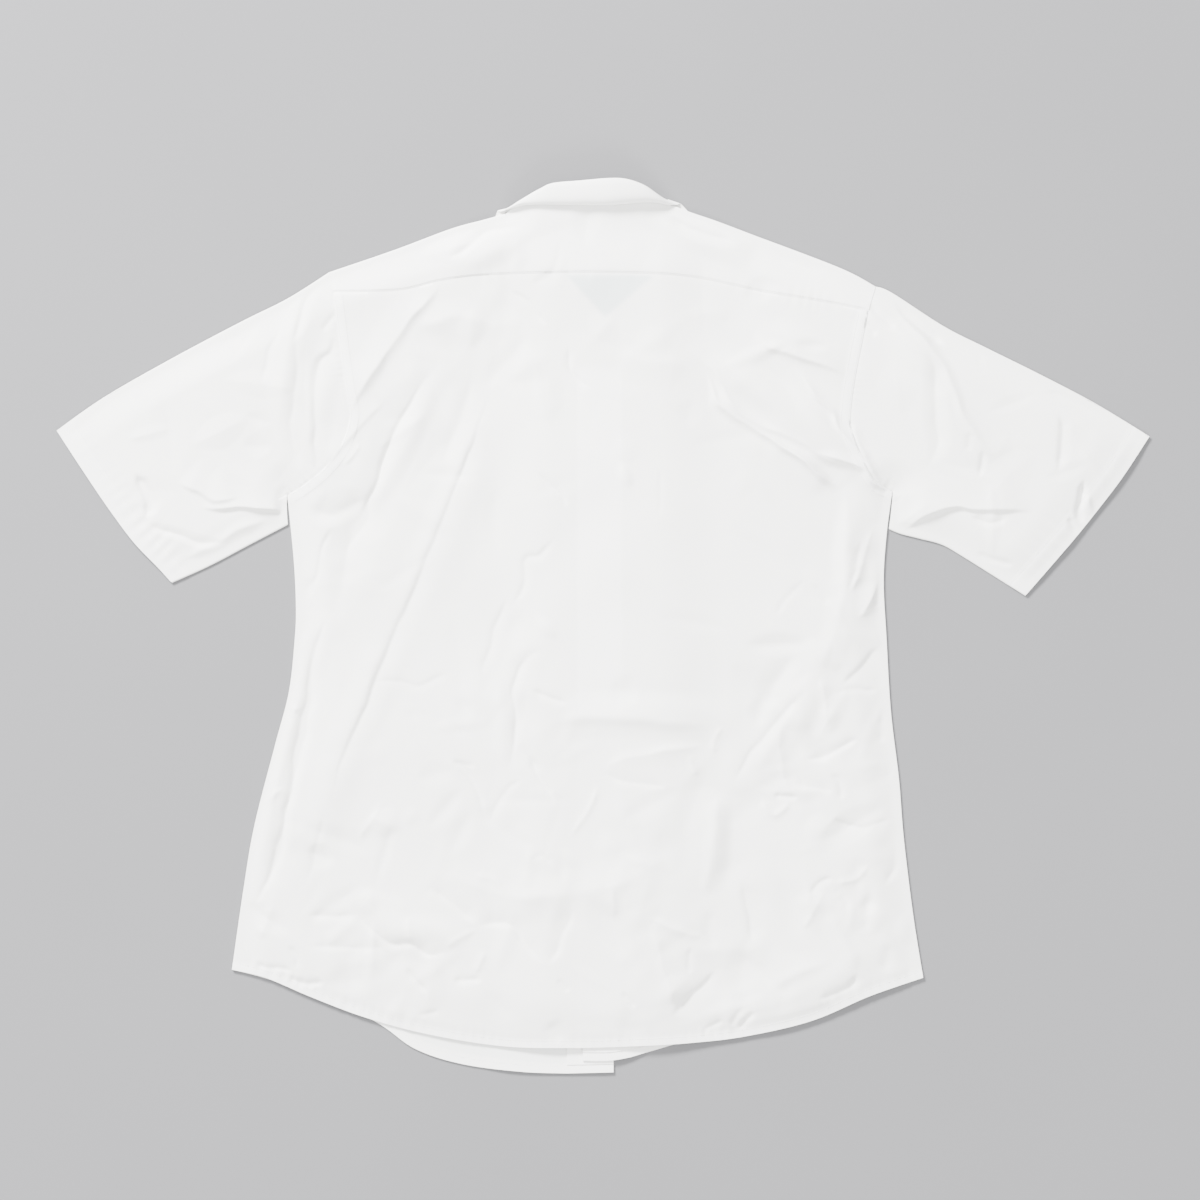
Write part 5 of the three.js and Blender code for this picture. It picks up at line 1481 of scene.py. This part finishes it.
sew("stitches_yoke", [on_cloth(moved_left(smooth_line(YOKE_SEAM), YOKE_STITCH), 4, yoke_under)])
sew("stitches_hem", [on_cloth(moved_left(smooth_line(BACK_HEM), HEM_STITCH), 5, back_under)])
sew("stitches_armholes", [on_cloth(armhole_line(side, inset), 4, back_under)
                          for side in SIDES for inset in ARMHOLE_STITCH])
for side in SIDES:
    cuff_row = moved_left(smooth_line(CUFF[side]), -OUTWARD[side] * CUFF_STITCH)
    sew(f"stitches_cuff_{side}", [on_cloth(cuff_row, 5, lambda x, y: sleeve_under(side, x, y))])
    hem_row = moved_left(smooth_line(FRONT_HEM[side]), -OUTWARD[side] * HEM_STITCH)
    sew(f"stitches_front_{side}", [on_cloth(hem_row, 5, lambda x, y: front_low(side, x, y)
                                            + front_hem_rise(side, x, y))])

# %% [markdown]
# ## Buttons
#
# Seven small resin buttons with four holes, face down on the floor. One is modelled from a cylinder, its face
# inset and pushed in to make the rim, its edges rounded and the holes cut. The others are copies.

# %% One button
RESIN = clouded("off-white resin", 260.0, (0.72, 0.70, 0.63), (0.86, 0.85, 0.80), roughness=0.28,
                distortion=1.2, coat=0.3)
RIM_WIDE, RIM_DEEP, RIM_ROUND = 1.3, 0.5, 0.35
HOLE_RADIUS, HOLE_OFFSET = 0.75, 1.15


def deselect():
    bpy.ops.object.select_all(action="DESELECT")


def apply_all(piece):
    bpy.context.view_layer.objects.active = piece
    for modifier in list(piece.modifiers):
        bpy.ops.object.modifier_apply(modifier=modifier.name)


deselect()
middle = BUTTON_THICK / 2 * MM
bpy.ops.mesh.primitive_cylinder_add(vertices=32, radius=BUTTON_RADIUS * MM, depth=BUTTON_THICK * MM,
                                    location=(BUTTON_X * MM, BUTTON_HEIGHTS[0] * MM, middle))
button = bpy.context.active_object
bpy.ops.object.mode_set(mode="EDIT")
bpy.ops.mesh.select_all(action="DESELECT")
shape = bmesh.from_edit_mesh(button.data)
for face in shape.faces:
    face.select = face.normal.z < -0.9
bmesh.update_edit_mesh(button.data)
bpy.ops.mesh.inset(thickness=RIM_WIDE * MM)
bpy.ops.transform.translate(value=(0, 0, RIM_DEEP * MM))
bpy.ops.object.mode_set(mode="OBJECT")
bevel = button.modifiers.new("round rim", "BEVEL")
bevel.width = RIM_ROUND * MM
bevel.segments = 2
apply_all(button)

deselect()
holes = []
for dx in (-1, 1):
    for dy in (-1, 1):
        place = (BUTTON_X + dx * HOLE_OFFSET) * MM, (BUTTON_HEIGHTS[0] + dy * HOLE_OFFSET) * MM, middle
        bpy.ops.mesh.primitive_cylinder_add(vertices=12, radius=HOLE_RADIUS * MM,
                                            depth=4 * BUTTON_THICK * MM, location=place)
        holes.append(bpy.context.active_object)
for hole in holes:
    cut = button.modifiers.new("hole", "BOOLEAN")
    cut.object = hole
    cut.operation = "DIFFERENCE"
    cut.solver = "EXACT"
apply_all(button)
for hole in holes:
    bpy.data.objects.remove(hole)
button.data.transform(button.matrix_world)
button.matrix_world.identity()
button.name = button.data.name = "shirt_button_1"
button.data.materials.clear()
button.data.materials.append(RESIN)
for polygon in button.data.polygons:
    polygon.use_smooth = True
deselect()
button.select_set(True)
bpy.context.view_layer.objects.active = button
bpy.ops.object.shade_smooth_by_angle(angle=math.radians(40))
print("button", len(button.data.polygons), "faces")

# %% Copies of the button
buttons = [button]
for k, height in enumerate(BUTTON_HEIGHTS[1:], start=2):
    copy = button.copy()
    copy.data = button.data.copy()
    copy.name = copy.data.name = f"shirt_button_{k}"
    for vertex in copy.data.vertices:
        vertex.co.y += (height - BUTTON_HEIGHTS[0]) * MM
    bpy.context.scene.collection.objects.link(copy)
    buttons.append(copy)
for k, piece in enumerate(buttons, start=1):
    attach(piece, "root")
    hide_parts(f"button_{k}")

# %% [markdown]
# ## Stage, light and camera
#
# The shirt lies on a plain pale floor. A broad soft light beyond the collar rakes down the back, so each
# crease has a light and a dark side. The camera looks straight down from far away.

# %% Floor
FLOOR_SIZE, FLOOR_DROP = 14, 0.0004  # in metres, and the floor is just below the shirt
deselect()
bpy.ops.mesh.primitive_plane_add(size=FLOOR_SIZE, location=(0, 0, -FLOOR_DROP))
floor = bpy.context.active_object
floor.name = "floor"
floor.data.materials.append(
    clouded("pale floor", 2.5, (0.128, 0.128, 0.133), (0.146, 0.146, 0.151), roughness=0.85))

# %% Lights
def area_light(name, place, aim, width, height, watts, colour=(1, 1, 1)):
    data = bpy.data.lights.new(name, "AREA")
    data.shape = "RECTANGLE"
    data.size, data.size_y = width, height
    data.energy = watts
    data.color = colour
    lamp = bpy.data.objects.new(name, data)
    bpy.context.scene.collection.objects.link(lamp)
    lamp.location = place
    direction = np.array(aim, float) - np.array(place, float)
    lamp.rotation_euler = (math.atan2(math.hypot(direction[0], direction[1]), -direction[2]), 0,
                           math.atan2(direction[0], -direction[1]) + math.pi)
    return lamp


area_light("window beyond the collar", (-2.2, 3.2, 2.35), (0, 0, 0), 1.7, 1.0, 1540)
area_light("soft ceiling", (0, 0.3, 4.2), (0, 0, 0), 3.5, 3.5, 130)
area_light("fill from the hem", (1.0, -3.4, 2.8), (0, 0, 0), 2.4, 1.6, 300)
world = bpy.data.worlds.new("studio")
bpy.context.scene.world = world
world.use_nodes = True
world.node_tree.nodes["Background"].inputs["Color"].default_value = (1, 1, 1, 1)
world.node_tree.nodes["Background"].inputs["Strength"].default_value = 1.45

# %% Camera
CAMERA_HEIGHT = 5.0
FRAME_WIDTH = 1.116                 # of floor that the picture covers
FRAME_CENTRE = (-0.0028, 0.0251)    # where its middle falls
camera_data = bpy.data.cameras.new("overhead")
camera_data.sensor_width = 36
camera_data.lens = 36 * CAMERA_HEIGHT / FRAME_WIDTH
camera = bpy.data.objects.new("overhead", camera_data)
bpy.context.scene.collection.objects.link(camera)
camera.location = (*FRAME_CENTRE, CAMERA_HEIGHT)
camera_data.clip_end = 50
bpy.context.scene.camera = camera
